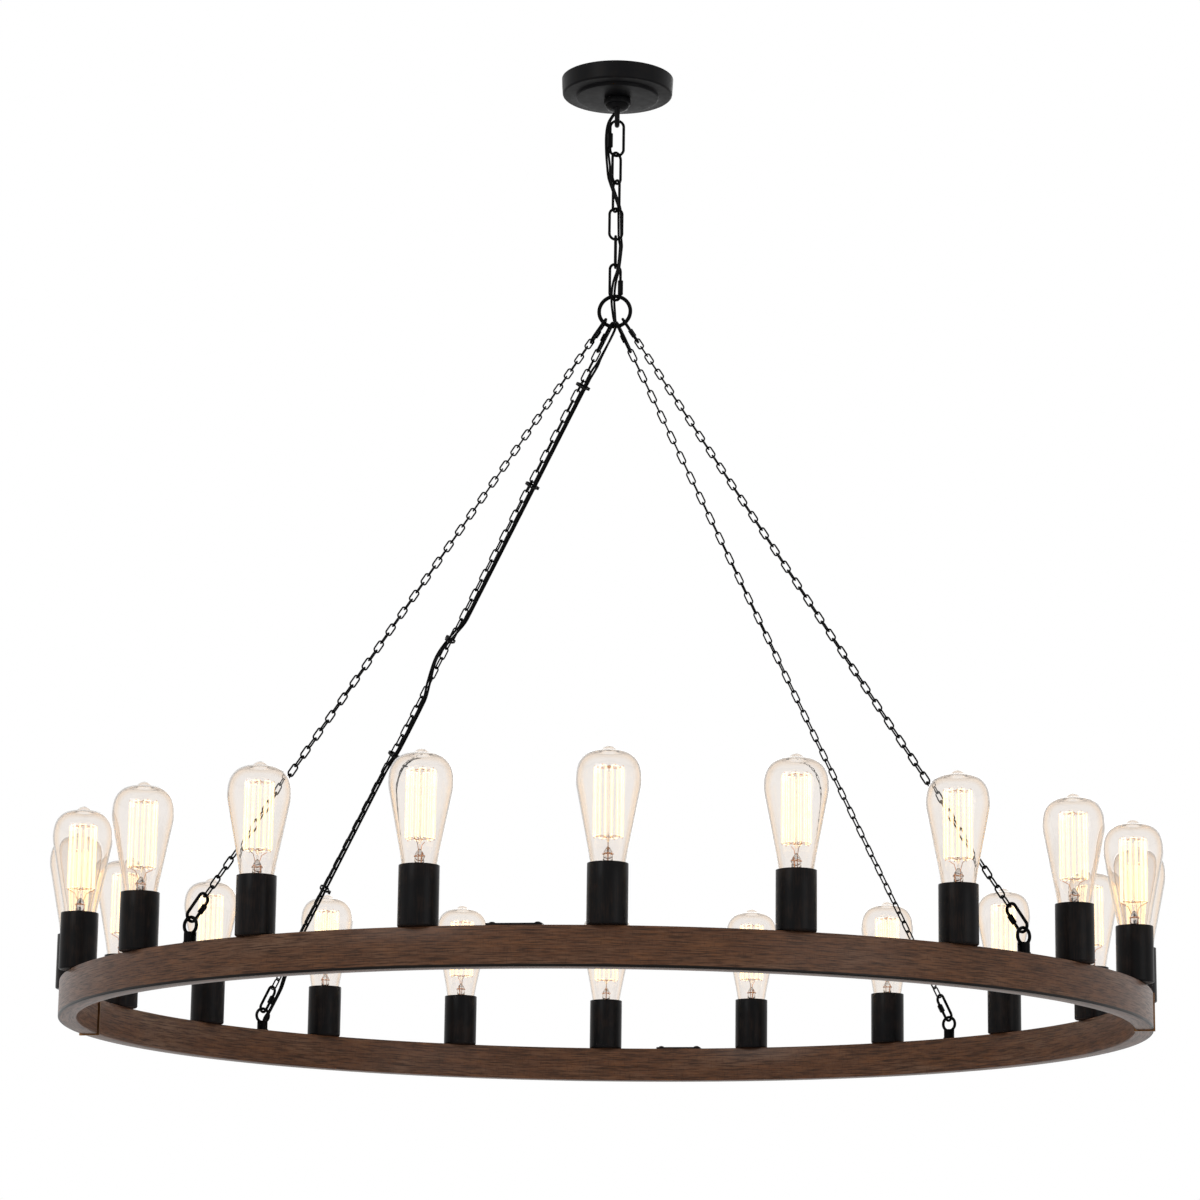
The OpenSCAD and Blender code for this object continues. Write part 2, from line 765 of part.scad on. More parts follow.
// The couplings under the eyes, slotted for the eye's lower arc and drilled for the lead
module eye_couplings() {
    color("black")
    for (i = [0:3])
        rotate([0, 0, anchor_turns[i]])
            translate([tube_mid, 0, wheel_top])
                difference() {
                    union() {
                        cylinder(d = coupling_flange_d, h = coupling_flange_t, $fn = 48);
                        cylinder(d = coupling_d, h = coupling_h, $fn = 48);
                    }
                    translate([0, 0, -slice])
                        cylinder(d = eye_shank + 2 * bore_gap, h = coupling_h + 2 * slice,
                            $fn = 32);
                    rotate([0, 0, 90 + eye_turns[i]])
                        translate([-coupling_d, -eye_wire / 2 - 0.2,
                                coupling_h - eye_sink - eye_wire / 2 - 0.2])
                            cube([2 * coupling_d, eye_wire + 0.4, coupling_h]);
                    if (i == lead_chain)
                        translate([0, 0, -slice])
                            strand_holes(coupling_h + 2 * slice);
                }
}

// The two holes that the lead's strands go through, at the anchor
module strand_holes(h) {
    last = entry_route[len(entry_route) - 1];
    for (side = [-1, 1])
        translate([last.x, last.y + side * half_pair, 0])
            cylinder(d = strand_hole_d, h = h, $fn = 24);
}

// ---- Wheel ----

// Half of the wheel's box tube, from one joint to the other
module wheel_half(start) {
    difference() {
        rotate([0, 0, start])
            translate([0, 0, wheel_foot])
                rotate_extrude(angle = 180, $fn = 180)
                    translate([tube_in, 0])
                        difference() {
                            square([tube_w, tube_h]);
                            translate([tube_wall, tube_wall])
                                square([tube_w - 2 * tube_wall, tube_h - 2 * tube_wall]);
                        }
        at_joints()
            translate([-tube_w, -tube_end, -tube_h - slice])
                cube([2 * tube_w, 2 * tube_end, tube_h + 2 * slice]);
        at_lamps()
            wall_hole(lamp_nipple_d + 2 * bore_gap);
        at_anchors()
            wall_hole(eye_shank + 2 * bore_gap);
        rotate([0, 0, anchor_turns[lead_chain]])
            translate([tube_mid, 0, wall_top - slice])
                strand_holes(tube_wall + 2 * slice);
        at_joints()
            for (side = [-1, 1])
                translate([0, side * splice_screw_x, 0])
                    wall_hole(splice_screw_d + 2 * fit_gap);
        for (a = access_turns)
            rotate([0, 0, a])
                translate([tube_mid, 0, wall_top]) {
                    translate([-access_w / 2, -access_l / 2, -slice])
                        cube([access_w, access_l, tube_wall + 2 * slice]);
                    for (side = [-1, 1])
                        translate([0, side * cover_pitch / 2, -slice])
                            cylinder(d = cover_screw_d + 2 * thread_gap,
                                h = tube_wall + 2 * slice, $fn = 32);
                }
    }
}

// A round hole through the top wall of the tube
module wall_hole(d) {
    translate([0, 0, -tube_wall - slice])
        cylinder(d = d, h = tube_wall + 2 * slice, $fn = 32);
}

module wheel_half_front() {
    color("saddlebrown")
    wheel_half(joint_turn + 180);
}

module wheel_half_back() {
    color("saddlebrown")
    wheel_half(joint_turn);
}

// Four plates, two at each joint, standing a little out of the tube at its sides and foot
module joint_plates() {
    color("darkgoldenrod")
    at_joints()
        for (side = [-1, 1])
            translate([-tube_w / 2 - plate_out, side * (plate_gap + plate_t) / 2 - plate_t / 2,
                    -tube_h - plate_out])
                difference() {
                    cube([tube_w + 2 * plate_out, plate_t, tube_h + plate_out]);
                    translate([plate_out + tube_wall, -slice, plate_out + tube_wall])
                        cube([tube_w - 2 * tube_wall, plate_t + 2 * slice,
                            tube_h - 2 * tube_wall]);
                }
}

// A bent bar inside each joint, against the tube's top wall
module splice_bars() {
    half_angle = splice_l / 2 / tube_mid * 180 / PI;
    color("gray")
    for (a = [joint_turn, joint_turn + 180])
        difference() {
            rotate([0, 0, a - half_angle])
                translate([0, 0, wall_top - splice_h])
                    rotate_extrude(angle = 2 * half_angle, $fn = 180)
                        translate([tube_mid - splice_w / 2, 0])
                            square([splice_w, splice_h]);
            rotate([0, 0, a])
                for (side = [-1, 1])
                    translate([tube_mid, side * splice_screw_x, wall_top - splice_screw_l])
                        cylinder(d = splice_screw_d + 2 * thread_gap,
                            h = splice_screw_l + slice, $fn = 32);
        }
}

module splice_screws() {
    color("black")
    at_joints()
        for (side = [-1, 1])
            translate([0, side * splice_screw_x, 0])
                round_screw(splice_screw_d, splice_screw_l, splice_head_d, screw_head_h);
}

module access_covers() {
    color("black")
    for (a = access_turns)
        rotate([0, 0, a])
            translate([tube_mid, 0, wheel_top])
                difference() {
                    translate([-cover_w / 2, -cover_l / 2, 0])
                        cube([cover_w, cover_l, cover_t]);
                    for (side = [-1, 1])
                        translate([0, side * cover_pitch / 2, -slice])
                            cylinder(d = cover_screw_d + 2 * fit_gap,
                                h = cover_t + 2 * slice, $fn = 32);
                }
}

module cover_screws() {
    color("black")
    for (a = access_turns)
        rotate([0, 0, a])
            for (side = [-1, 1])
                translate([tube_mid, side * cover_pitch / 2, wheel_top + cover_t])
                    round_screw(cover_screw_d, cover_t + tube_wall + screw_grip,
                        cover_screw_d * 2, screw_head_h);
}

// ---- Lamps ----

module socket_sleeves() {
    r = sleeve_d / 2;
    w = sleeve_wall;
    e = sleeve_edge_r;
    color("black")
    at_lamps()
        rotate_extrude($fn = 64)
            polygon(concat(
                [[sleeve_hole_d / 2, 0]],
                arc(r - e, e, e, -90, 0),
                [[r, sleeve_h], [r - w, sleeve_h], [r - w, sleeve_floor],
                    [sleeve_hole_d / 2, sleeve_floor]]));
}

// Insulated lampholders with a screw shell above and a threaded entry below
module lampholders() {
    entry_h = lamp_nipple_top - sleeve_floor + 2;
    color("black")
    at_lamps()
        translate([0, 0, sleeve_floor])
            difference() {
                cylinder(d = holder_d, h = holder_h, $fn = 64);
                translate([0, 0, holder_h - holder_depth])
                    cylinder(r = holder_bore_r, h = holder_depth + slice, $fn = 48);
                translate([0, 0, -slice])
                    cylinder(d = lamp_nipple_d + 2 * thread_gap, h = entry_h + slice, $fn = 48);
            }
}

// Threaded tubes that clamp the sleeves and lampholders to the wheel, with their nuts
module socket_nipples() {
    l = lamp_nipple_top - lamp_nipple_foot;
    color("goldenrod")
    at_lamps() {
        translate([0, 0, lamp_nipple_foot])
            difference() {
                cylinder(d = lamp_nipple_d, h = l, $fn = 48);
                translate([0, 0, -slice])
                    cylinder(d = lamp_nipple_bore, h = l + 2 * slice, $fn = 48);
            }
        translate([0, 0, -tube_wall - lamp_nut_t])
            hex_nut(lamp_nut_key, lamp_nipple_d + 2 * thread_gap, lamp_nut_t);
    }
}

// Outer radius of the bulb's glass at a distance below its tip
function glass_r(h) =
    h < tip_h ? tip_r * pow(1 - pow(1 - h / tip_h, 2), 0.4) * (0.72 + 0.28 * h / tip_h)
    : h < shoulder_h ? tip_r + (bulb_d / 2 - tip_r)
        * pow(1 - pow(1 - (h - tip_h) / (shoulder_h - tip_h), dome_power), 1 / dome_power)
    : h < shoulder_h + blend_h
        ? bulb_d / 2 - cone_slope * pow(h - shoulder_h, 2) / (2 * blend_h)
    : max(neck_r, bulb_d / 2 - cone_slope * (h - shoulder_h - blend_h / 2));

glass_l = bulb_l - base_h;
glass_stations = [
    0, 0.2, 0.8, 2, 3.5, 5, 5.6, 7, 9.5, 13, 17, 21.5, 27, 33, 37, 41,
    (41 + glass_l) / 2, glass_l - 4
];

// Closed glass envelope with its stem, in the bulb's own frame with the tip at z = 0
module bulb_glass() {
    inner = [for (h = glass_stations) if (h >= tip_h)
        [glass_r(h) - glass_wall, -max(h, tip_h + glass_wall)]];
    rotate_extrude($fn = 48)
        polygon(concat(
            [for (h = glass_stations) [glass_r(h), -h]],
            [[base_d / 2, -glass_l], [0, -glass_l], [0, -stem_top], [stem_r - 2, -stem_top],
                [stem_r - 1, -stem_top - 5], [stem_r + 3, 3 - glass_l],
                [neck_r - glass_wall - 1, 3 - glass_l]],
            [for (k = [len(inner) - 1:-1:0]) inner[k]],
            [[0, -tip_h - glass_wall]]));
}

// Filament cage: upright wires round a middle rod, hung in turn on hooks above and below
module bulb_cage() {
    for (k = [0:cage_count - 1])
        rotate([0, 0, (k + 0.5) * 360 / cage_count]) {
            translate([cage_d / 2, 0, -cage_foot])
                cylinder(d = filament_d, h = cage_foot - cage_top, $fn = 16);
            translate([cage_rod_d / 4, 0, k % 2 == 0 ? hook_in - cage_foot : -cage_top - hook_in])
                rotate([0, 90, 0])
                    cylinder(d = hook_d, h = cage_d / 2 - cage_rod_d / 4, $fn = 16);
        }
    translate([0, 0, -stem_top - 2])
        cylinder(d = cage_rod_d, h = stem_top + 2 - cage_top, $fn = 20);
}

// The screw base: rounded threads, an insulating taper and the contact
module bulb_base() {
    turns = floor((base_h - 8) / base_pitch);
    translate([0, 0, -bulb_l])
        rotate_extrude($fn = 48)
            polygon(concat(
                [[0, 0], [4.5, 0], [5, 1.2], [9, 1.6], [base_d / 2 - 1, 5]],
                [for (k = [0:turns - 1]) for (s = [0:1])
                    [base_d / 2 - 0.9 * s, 6 + base_pitch * (k + s / 2)]],
                [[base_d / 2, 6 + base_pitch * turns], [base_d / 2, base_h - touch_gap],
                    [0, base_h - touch_gap]]));
}

module bulb(i) {
    color("wheat")
    rotate([0, 0, lamp_turn + i * lamp_step])
        translate([tube_mid, 0, bulb_tip]) {
            bulb_glass();
            bulb_cage();
            bulb_base();
        }
}

// ---- Wiring ----

module power_cord() {
    color("black")
    swept_tube(strand_points(1), strand_d);
}

module earth_wire() {
    color("black")
    swept_tube(strand_points(-1), strand_d);
}

// Straps around the chain and the lead, each with its small lock
module cable_ties() {
    color("black")
    chain_frame(lead_chain)
        for (tie = tie_places)
            translate([0, 0, -tie[0]])
                rotate([0, 0, tie[1]])
                    cable_tie(tie[2]);
}

module cable_tie(lock_turn) {
    wide = small_w + strand_d + 2.8;
    deep = small_w + 1.6;
    translate([-strand_d / 2 - 0.4, 0, -tie_w / 2])
        difference() {
            union() {
                oval_block(wide + 2 * tie_t, deep + 2 * tie_t, tie_w);
                rotate([0, 0, lock_turn])
                    translate([wide / 2 - 4, deep / 2 + tie_t / 2, -0.5])
                        cube([4, 2.8, tie_w + 1]);
            }
            translate([0, 0, -1])
                oval_block(wide, deep, tie_w + 2);
        }
}

// A block with round ends
module oval_block(l, w, h) {
    for (side = [-1, 1])
        translate([side * (l - w) / 2, 0, 0])
            cylinder(d = w, h = h, $fn = 40);
    translate([-(l - w) / 2, -w / 2, 0])
        cube([l - w, w, h]);
}

// Ring wires on the tube's floor, with two leads up into each lampholder
module wheel_wiring() {
    color("gray") {
        for (r = ring_lead_r)
            translate([0, 0, ring_lead_z])
                rotate_extrude($fn = 180)
                    translate([r, 0])
                        circle(d = ring_lead_d, $fn = 20);
        at_lamps()
            for (side = [0, 1])
                lamp_lead(side);
    }
}

// One lead from its place on a ring wire up through the threaded tube into the lampholder
module lamp_lead(side) {
    x = side == 0 ? -lamp_lead_x : lamp_lead_x;
    foot = ring_lead_z + ring_lead_d / 2 + lamp_lead_seat - wheel_top;
    start = [ring_lead_r[side] - tube_mid, 0, foot];
    swept_tube([start, start + [0, 0, 8], [x, 0, lamp_nipple_foot - 8],
        [x, 0, lamp_nipple_foot], [x, 0, lamp_nipple_top + 0.5]], lamp_lead_d);
}

crossbar();
earth_screw();
nipple();
nipple_nut();
canopy_loop();
canopy();
collar_ring();
quick_link_upper();
quick_sleeve_upper();
plain_link(0);  // link_1
plain_link(1);  // link_2
plain_link(2);  // link_3
plain_link(3);  // link_4
quick_link_lower();
quick_sleeve_lower();
center_ring();
small_chain(0);  // chain_back_right
small_chain(1);  // chain_back_left
small_chain(2);  // chain_front_left
small_chain(3);  // chain_front_right
top_quick_links();
top_quick_sleeves();
foot_quick_links();
foot_quick_sleeves();
eye_bolts();
eye_couplings();
wheel_half_front();
wheel_half_back();
joint_plates();
splice_bars();
splice_screws();
access_covers();
cover_screws();
socket_sleeves();
lampholders();
socket_nipples();
power_cord();
earth_wire();
cable_ties();
wheel_wiring();
bulb(0);  // bulb_01
bulb(1);  // bulb_02
bulb(2);  // bulb_03
bulb(3);  // bulb_04
bulb(4);  // bulb_05
bulb(5);  // bulb_06
bulb(6);  // bulb_07
bulb(7);  // bulb_08
bulb(8);  // bulb_09
bulb(9);  // bulb_10
bulb(10);  // bulb_11
bulb(11);  // bulb_12
bulb(12);  // bulb_13
bulb(13);  // bulb_14
bulb(14);  // bulb_15
bulb(15);  // bulb_16
bulb(16);  // bulb_17
bulb(17);  // bulb_18
bulb(18);  // bulb_19
bulb(19);  // bulb_20
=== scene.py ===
import json
from math import asin, atan2, cos, degrees, floor, hypot, pi, radians, sin

import bpy
from bpy.props import FloatProperty, FloatVectorProperty, IntProperty, PointerProperty
from mathutils import Matrix, Vector


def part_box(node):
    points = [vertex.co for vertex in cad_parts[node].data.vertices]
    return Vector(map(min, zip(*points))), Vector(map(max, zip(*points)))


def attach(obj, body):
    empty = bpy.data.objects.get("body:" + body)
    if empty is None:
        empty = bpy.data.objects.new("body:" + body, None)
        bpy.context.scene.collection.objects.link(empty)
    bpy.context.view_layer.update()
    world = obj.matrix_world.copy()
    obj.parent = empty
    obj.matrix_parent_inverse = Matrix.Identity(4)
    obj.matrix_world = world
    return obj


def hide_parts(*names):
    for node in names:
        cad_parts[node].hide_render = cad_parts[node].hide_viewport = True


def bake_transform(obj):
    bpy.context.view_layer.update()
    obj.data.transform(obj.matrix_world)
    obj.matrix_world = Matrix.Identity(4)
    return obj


bl_info = {
    "name": "Wagon wheel chandelier",
    "version": (1, 0, 0),
    "blender": (4, 5, 0),
    "location": "View3D > Sidebar > Chandelier",
    "description": "Dresses the chandelier's fixed frame with its finishes, lamps, links and lead",
    "category": "Object",
}

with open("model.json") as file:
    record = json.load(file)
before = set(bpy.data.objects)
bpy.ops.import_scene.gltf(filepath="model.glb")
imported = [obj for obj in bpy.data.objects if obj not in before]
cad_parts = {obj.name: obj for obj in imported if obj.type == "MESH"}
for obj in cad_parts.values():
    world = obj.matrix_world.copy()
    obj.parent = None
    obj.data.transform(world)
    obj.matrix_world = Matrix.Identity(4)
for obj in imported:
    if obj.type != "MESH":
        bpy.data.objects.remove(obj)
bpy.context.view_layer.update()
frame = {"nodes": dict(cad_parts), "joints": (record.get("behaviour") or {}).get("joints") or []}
MM = 0.001

# ---- Places taken from the frame, in metres ----

wheel_low, wheel_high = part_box("wheel_half_front")
sleeve_low, sleeve_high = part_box("socket_sleeves")
canopy_low, canopy_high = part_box("canopy")
collar_low, collar_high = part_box("collar_ring")
loop_low, loop_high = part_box("canopy_loop")
ring_low, ring_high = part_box("center_ring")
bulb_low, bulb_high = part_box("bulb_01")
WHEEL_TOP = wheel_high.z
WHEEL_FOOT = wheel_low.z
WHEEL_R = -wheel_low.y
LAMP_COUNT = 20
LAMP_NAMES = [f"bulb_{k + 1:02d}" for k in range(LAMP_COUNT)]
LAMP_START = -90.0
JOINT_TURN = -9.0
ANCHOR_TURNS = (45.0, 135.0, 225.0, 315.0)
HOOK_TURNS = (14.0, -14.0, -42.5, 42.0)
LINK_TURNS = (50.0, -60.0, 5.0, 88.0)
QUICK_TURN = 38.0
RING_TURN = -8.0
LEAD_CHAIN = 1
HINGES = [j for j in frame["joints"] if j["type"] == "hinge"]

# ---- Settings that a user would change ----


def size(name, description, default, step=0.1):
    return FloatProperty(name=name, description=description, default=default, unit="LENGTH",
                         precision=4, step=step, min=0.0)


def colour(name, description, default):
    return FloatVectorProperty(name=name, description=description, default=default,
                               subtype="COLOR", size=3, min=0.0, max=1.0)


class CHANDELIER_PG_wheel(bpy.types.PropertyGroup):
    tube_width: size("Tube width", "Radial width of the box tube", 0.020)
    tube_wall: size("Tube wall", "Wall thickness of the box tube", 0.0012)
    edge_radius: size("Edge radius", "Radius of the tube's four long edges", 0.0012)
    joint_gap: size("Joint gap", "Distance from a joint's middle to the tube's end", 0.00165)
    plank: colour("Plank brown", "Main colour of the wood print", (0.104, 0.043, 0.021))
    streak: colour("Streak brown", "Dark streaks of the wood print", (0.017, 0.010, 0.007))
    bleach: colour("Bleached grey", "Pale rubbed streaks of the wood print", (0.156, 0.086, 0.053))
    rust: colour("Warm patch", "Warm patches of the wood print", (0.150, 0.062, 0.027))


class CHANDELIER_PG_lamp(bpy.types.PropertyGroup):
    sleeve_wall: size("Sleeve wall", "Wall thickness of a socket sleeve", 0.0012)
    sleeve_floor: size("Sleeve floor", "Thickness of a socket sleeve's floor", 0.002)
    sleeve_hole: size("Sleeve hole", "Radius of the hole in a sleeve's floor", 0.0052)
    sleeve_edge: size("Sleeve edge", "Radius of a sleeve's bottom edge", 0.002)
    bulb_radius: size("Bulb radius", "Largest radius of a bulb", 0.032)
    bulb_length: size("Bulb length", "Length of a bulb with its base", 0.142)
    base_radius: size("Base radius", "Radius of a bulb's screw base", 0.013)
    base_height: size("Base height", "Height of a bulb's screw base", 0.024)
    glass_wall: size("Glass wall", "Thickness of a bulb's glass", 0.0009)
    cage_radius: size("Cage radius", "Radius of the filament cage", 0.0138)
    cage_top: size("Cage top", "Distance of the cage's top below the bulb's tip", 0.0205)
    cage_foot: size("Cage foot", "Distance of the cage's foot below the bulb's tip", 0.089)
    loops: IntProperty(name="Filament loops", description="Upright runs of the filament",
                       default=14, min=6, max=20)
    glow: FloatProperty(name="Glow", description="Strength of the filament's light",
                        default=1.7, min=0.0, max=10.0)


class CHANDELIER_PG_hanging(bpy.types.PropertyGroup):
    canopy_wall: size("Canopy wall", "Thickness of the canopy's sheet", 0.0012)
    canopy_edge: size("Canopy edge", "Radius of the canopy's lower edge", 0.0025)
    disc_radius: size("Disc radius", "Radius of the raised disc under the canopy", 0.048)
    disc_drop: size("Disc drop", "Drop of the raised disc", 0.0035)
    disc_edge: size("Disc edge", "Radius of the raised disc's edge", 0.0015)
    link_length: size("Link length", "Length of a plain link", 0.0406)
    link_width: size("Link width", "Width of a plain link", 0.018)
    link_wire: size("Link wire", "Wire diameter of a plain link", 0.0032)
    quick_length: size("Quick link length", "Length of a large quick link", 0.046)
    quick_width: size("Quick link width", "Width of a large quick link", 0.019)
    quick_wire: size("Quick link wire", "Wire diameter of a large quick link", 0.0033)
    ring_wire: size("Ring wire", "Wire diameter of the ring over the chains", 0.0045)
    strand: size("Strand", "Diameter of one strand of the twin lead", 0.0028)
    half_pair: size("Half pair", "Half the distance between the two strands", 0.0016)


class CHANDELIER_PG_stage(bpy.types.PropertyGroup):
    distance: size("Camera distance", "Distance of the camera from the wheel's axis", 4.2085)
    height: FloatProperty(name="Camera height", description="Height of the camera from the ceiling",
                          default=-1.5472, unit="LENGTH")
    pitch: FloatProperty(name="Camera pitch", description="Upward tilt of the camera",
                         default=radians(12.398), subtype="ANGLE")
    roll: FloatProperty(name="Camera roll", description="Roll of the camera",
                        default=radians(-0.7183), subtype="ANGLE")
    focal: FloatProperty(name="Focal length", description="Focal length on a 36 mm sensor",
                         default=114.12, min=10.0)
    shift: FloatProperty(name="Shift", description="Sideways shift of the frame, as a share",
                         default=-0.009275)
    floor_drop: size("Floor drop", "Distance of the floor below the ceiling", 2.3)


# ---- Modelling helpers ----


def deselect():
    if bpy.context.object and bpy.context.object.mode != "OBJECT":
        bpy.ops.object.mode_set(mode="OBJECT")
    bpy.ops.object.select_all(action="DESELECT")


def activate(*pieces):
    deselect()
    for piece in pieces:
        piece.select_set(True)
    bpy.context.view_layer.objects.active = pieces[0]


def select_points(piece, wanted):
    """Select the points that wanted() accepts, and go into edit mode on points."""
    activate(piece)
    for part in (piece.data.polygons, piece.data.edges):
        for item in part:
            item.select = False
    for point in piece.data.vertices:
        point.select = bool(wanted(point.co))
    bpy.ops.object.mode_set(mode="EDIT")
    bpy.ops.mesh.select_mode(type="VERT")


def object_mode():
    bpy.ops.object.mode_set(mode="OBJECT")


def settle(piece):
    """Put the piece's place into its mesh."""
    activate(piece)
    bpy.ops.object.transform_apply(location=True, rotation=True, scale=True)
    return piece


def smooth(piece, angle=35.0):
    activate(piece)
    bpy.ops.object.shade_smooth_by_angle(angle=radians(angle))
    return piece


def lathe(name, outline, steps=48, turn=2 * pi, angle=35.0):
    """A round piece: an outline of (radius, height) drawn by extrudes and spun round Z."""
    deselect()
    bpy.ops.mesh.primitive_plane_add(size=0.001, location=(0, 0, 0))
    piece = bpy.context.object
    piece.name = piece.data.name = name
    bpy.ops.object.mode_set(mode="EDIT")
    bpy.ops.mesh.select_all(action="SELECT")
    bpy.ops.mesh.merge(type="CENTER")
    last = Vector((0, 0, 0))
    for count, (r, z) in enumerate(outline):
        here = Vector((r, 0, z))
        move = {"value": here - last}
        if count == 0:
            bpy.ops.transform.translate(**move)
        else:
            bpy.ops.mesh.extrude_vertices_move(TRANSFORM_OT_translate=move)
        last = here
    bpy.ops.mesh.select_all(action="SELECT")
    bpy.ops.mesh.spin(steps=steps, angle=turn, center=(0, 0, 0), axis=(0, 0, 1))
    bpy.ops.mesh.select_all(action="SELECT")
    bpy.ops.mesh.remove_doubles(threshold=0.000002)
    bpy.ops.mesh.normals_make_consistent(inside=False)
    object_mode()
    return smooth(piece, angle)


def round_wire(name, radius, wire, bend=40, around=14):
    """A ring of round wire, upright in the XZ plane and centred on the origin."""
    deselect()
    bpy.ops.mesh.primitive_torus_add(major_segments=bend, minor_segments=around,
                                     major_radius=radius, minor_radius=wire / 2,
                                     rotation=(pi / 2, pi / bend, 0))
    piece = bpy.context.object
    piece.name = piece.data.name = name
    settle(piece)
    return smooth(piece, 60)


def oval_wire(name, length, width, wire, bend=24, around=12):
    """A link: a wire ring whose two halves are drawn apart into straight legs."""
    piece = round_wire(name, (width - wire) / 2, wire, bend, around)
    half = (length - width) / 2
    for side in (1, -1):
        select_points(piece, lambda co: co.z * side > 0)
        bpy.ops.transform.translate(value=(0, 0, side * half))
        object_mode()
    return piece


def apply_modifier(piece, name, kind, **settings):
    modifier = piece.modifiers.new(name, kind)
    for setting, value in settings.items():
        setattr(modifier, setting, value)
    activate(piece)
    bpy.ops.object.modifier_apply(modifier=modifier.name)


def hex_sleeve(name, corner_d, length, chamfer=0.0005):
    """A long six-sided nut with its corners turned off at both ends."""
    deselect()
    bpy.ops.mesh.primitive_cylinder_add(vertices=6, radius=corner_d / 2, depth=length)
    piece = bpy.context.object
    piece.name = piece.data.name = name
    apply_modifier(piece, "Turned ends", "BEVEL", width=chamfer, segments=2)
    return smooth(piece, 30)


def turned_copy(piece, name, place):
    """A copy with its own mesh at another place, which is put into the mesh."""
    twin = piece.copy()
    twin.data = piece.data.copy()
    twin.name = twin.data.name = name
    bpy.context.collection.objects.link(twin)
    twin.data.transform(place)
    return twin


def joined(name, pieces):
    activate(*pieces)
    if len(pieces) > 1:
        bpy.ops.object.join()
    whole = bpy.context.object
    whole.name = whole.data.name = name
    return whole


def remove(*pieces):
    for piece in pieces:
        bpy.data.objects.remove(piece)


def wire_along(name, points, diameter, sides=12, cyclic=False, rounding=None):
    """A round wire along a list of points, as a closed mesh."""
    curve = bpy.data.curves.new(name, "CURVE")
    curve.dimensions = "3D"
    curve.bevel_depth = diameter / 2
    curve.bevel_resolution = sides // 4
    curve.use_fill_caps = not cyclic
    line = curve.splines.new("POLY")
    line.points.add(len(points) - 1)
    for spot, p in zip(line.points, points):
        spot.co = (*p, 1)
    line.use_cyclic_u = cyclic
    piece = bpy.data.objects.new(name, curve)
    bpy.context.collection.objects.link(piece)
    activate(piece)
    bpy.ops.object.convert(target="MESH")
    piece = bpy.context.object
    return smooth(piece, 50)


def dress(piece, finish, body=None, replaced=()):
    """Give a new piece its finish, its body and the nodes that it stands for."""
    if finish:
        piece.data.materials.clear()
        piece.data.materials.append(FINISHES[finish])
    if body:
        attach(piece, body)
    if replaced:
        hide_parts(*replaced)
    return piece


def finish_node(node, finish):
    """Give a node of the frame its finish."""
    piece = frame["nodes"][node]
    if not piece.material_slots:
        piece.data.materials.append(None)
    for place in piece.material_slots:
        place.material = FINISHES[finish]


def paint(piece, finishes, which):
    """Give a piece several finishes, and all of its faces the one that which counts to."""
    piece.data.materials.clear()
    for finish in finishes:
        piece.data.materials.append(FINISHES[finish])
    for face in piece.data.polygons:
        face.material_index = which


def turn_z(degree):
    return Matrix.Rotation(radians(degree), 4, "Z")


def tube_middle():
    """Radius of the middle of the box tube."""
    return WHEEL_R - bpy.context.scene.chandelier_wheel.tube_width / 2


def lamp_place(k):
    """From a lamp's own frame, on the top of the wheel, to the frame of the object."""
    turn = turn_z(LAMP_START + k * 360 / LAMP_COUNT)
    return turn @ Matrix.Translation((tube_middle(), 0, WHEEL_TOP))


def ring_radius():
    return (ring_high.z - ring_low.z - bpy.context.scene.chandelier_hanging.ring_wire) / 2


def arc_points(x, z, r, start, end, steps=6):
    return [(x + r * cos(radians(start + (end - start) * i / steps)),
             z + r * sin(radians(start + (end - start) * i / steps))) for i in range(steps + 1)]


# ---- Shader groups ----


class Nodes:
    """A short way to add and join shader nodes."""

    def __init__(self, tree):
        self.tree = tree

    def add(self, kind, **settings):
        node = self.tree.nodes.new(kind)
        inputs = settings.pop("inputs", {})
        for name, value in settings.items():
            setattr(node, name, value)
        for name, value in inputs.items():
            self.put(node.inputs[name], value)
        return node

    def put(self, socket, value):
        if isinstance(value, bpy.types.NodeSocket):
            self.tree.links.new(value, socket)
        else:
            socket.default_value = value

    def math(self, operation, a, b=0.0, c=0.0, clamp=False):
        node = self.add("ShaderNodeMath", operation=operation, use_clamp=clamp)
        for socket, value in zip(node.inputs, (a, b, c)):
            self.put(socket, value)
        return node.outputs[0]

    def ramp(self, value, low, high):
        return self.add("ShaderNodeMapRange", interpolation_type="SMOOTHSTEP", inputs={
            "Value": value, "From Min": low, "From Max": high}).outputs[0]

    def noise(self, vector, scale, detail=3.0, roughness=0.55):
        return self.add("ShaderNodeTexNoise", inputs={
            "Vector": vector, "Scale": scale, "Detail": detail,
            "Roughness": roughness}).outputs[0]

    def stretch(self, vector, scale):
        return self.add("ShaderNodeVectorMath", operation="MULTIPLY",
                        inputs={0: vector, 1: scale}).outputs[0]

    def mix(self, factor, a, b):
        return self.add("ShaderNodeMix", data_type="RGBA",
                        inputs={0: factor, 6: a, 7: b}).outputs[2]


def group(name, inputs, outputs):
    """A new shader group with its sockets, and its start and end nodes."""
    tree = bpy.data.node_groups.new(name, "ShaderNodeTree")
    for socket, kind, value in inputs:
        made = tree.interface.new_socket(socket, in_out="INPUT", socket_type=kind)
        if value is not None:
            made.default_value = value
    for socket, kind in outputs:
        tree.interface.new_socket(socket, in_out="OUTPUT", socket_type=kind)
    work = Nodes(tree)
    return tree, work, work.add("NodeGroupInput").outputs, work.add("NodeGroupOutput").inputs


def opaque(rgb):
    return (*rgb, 1.0)


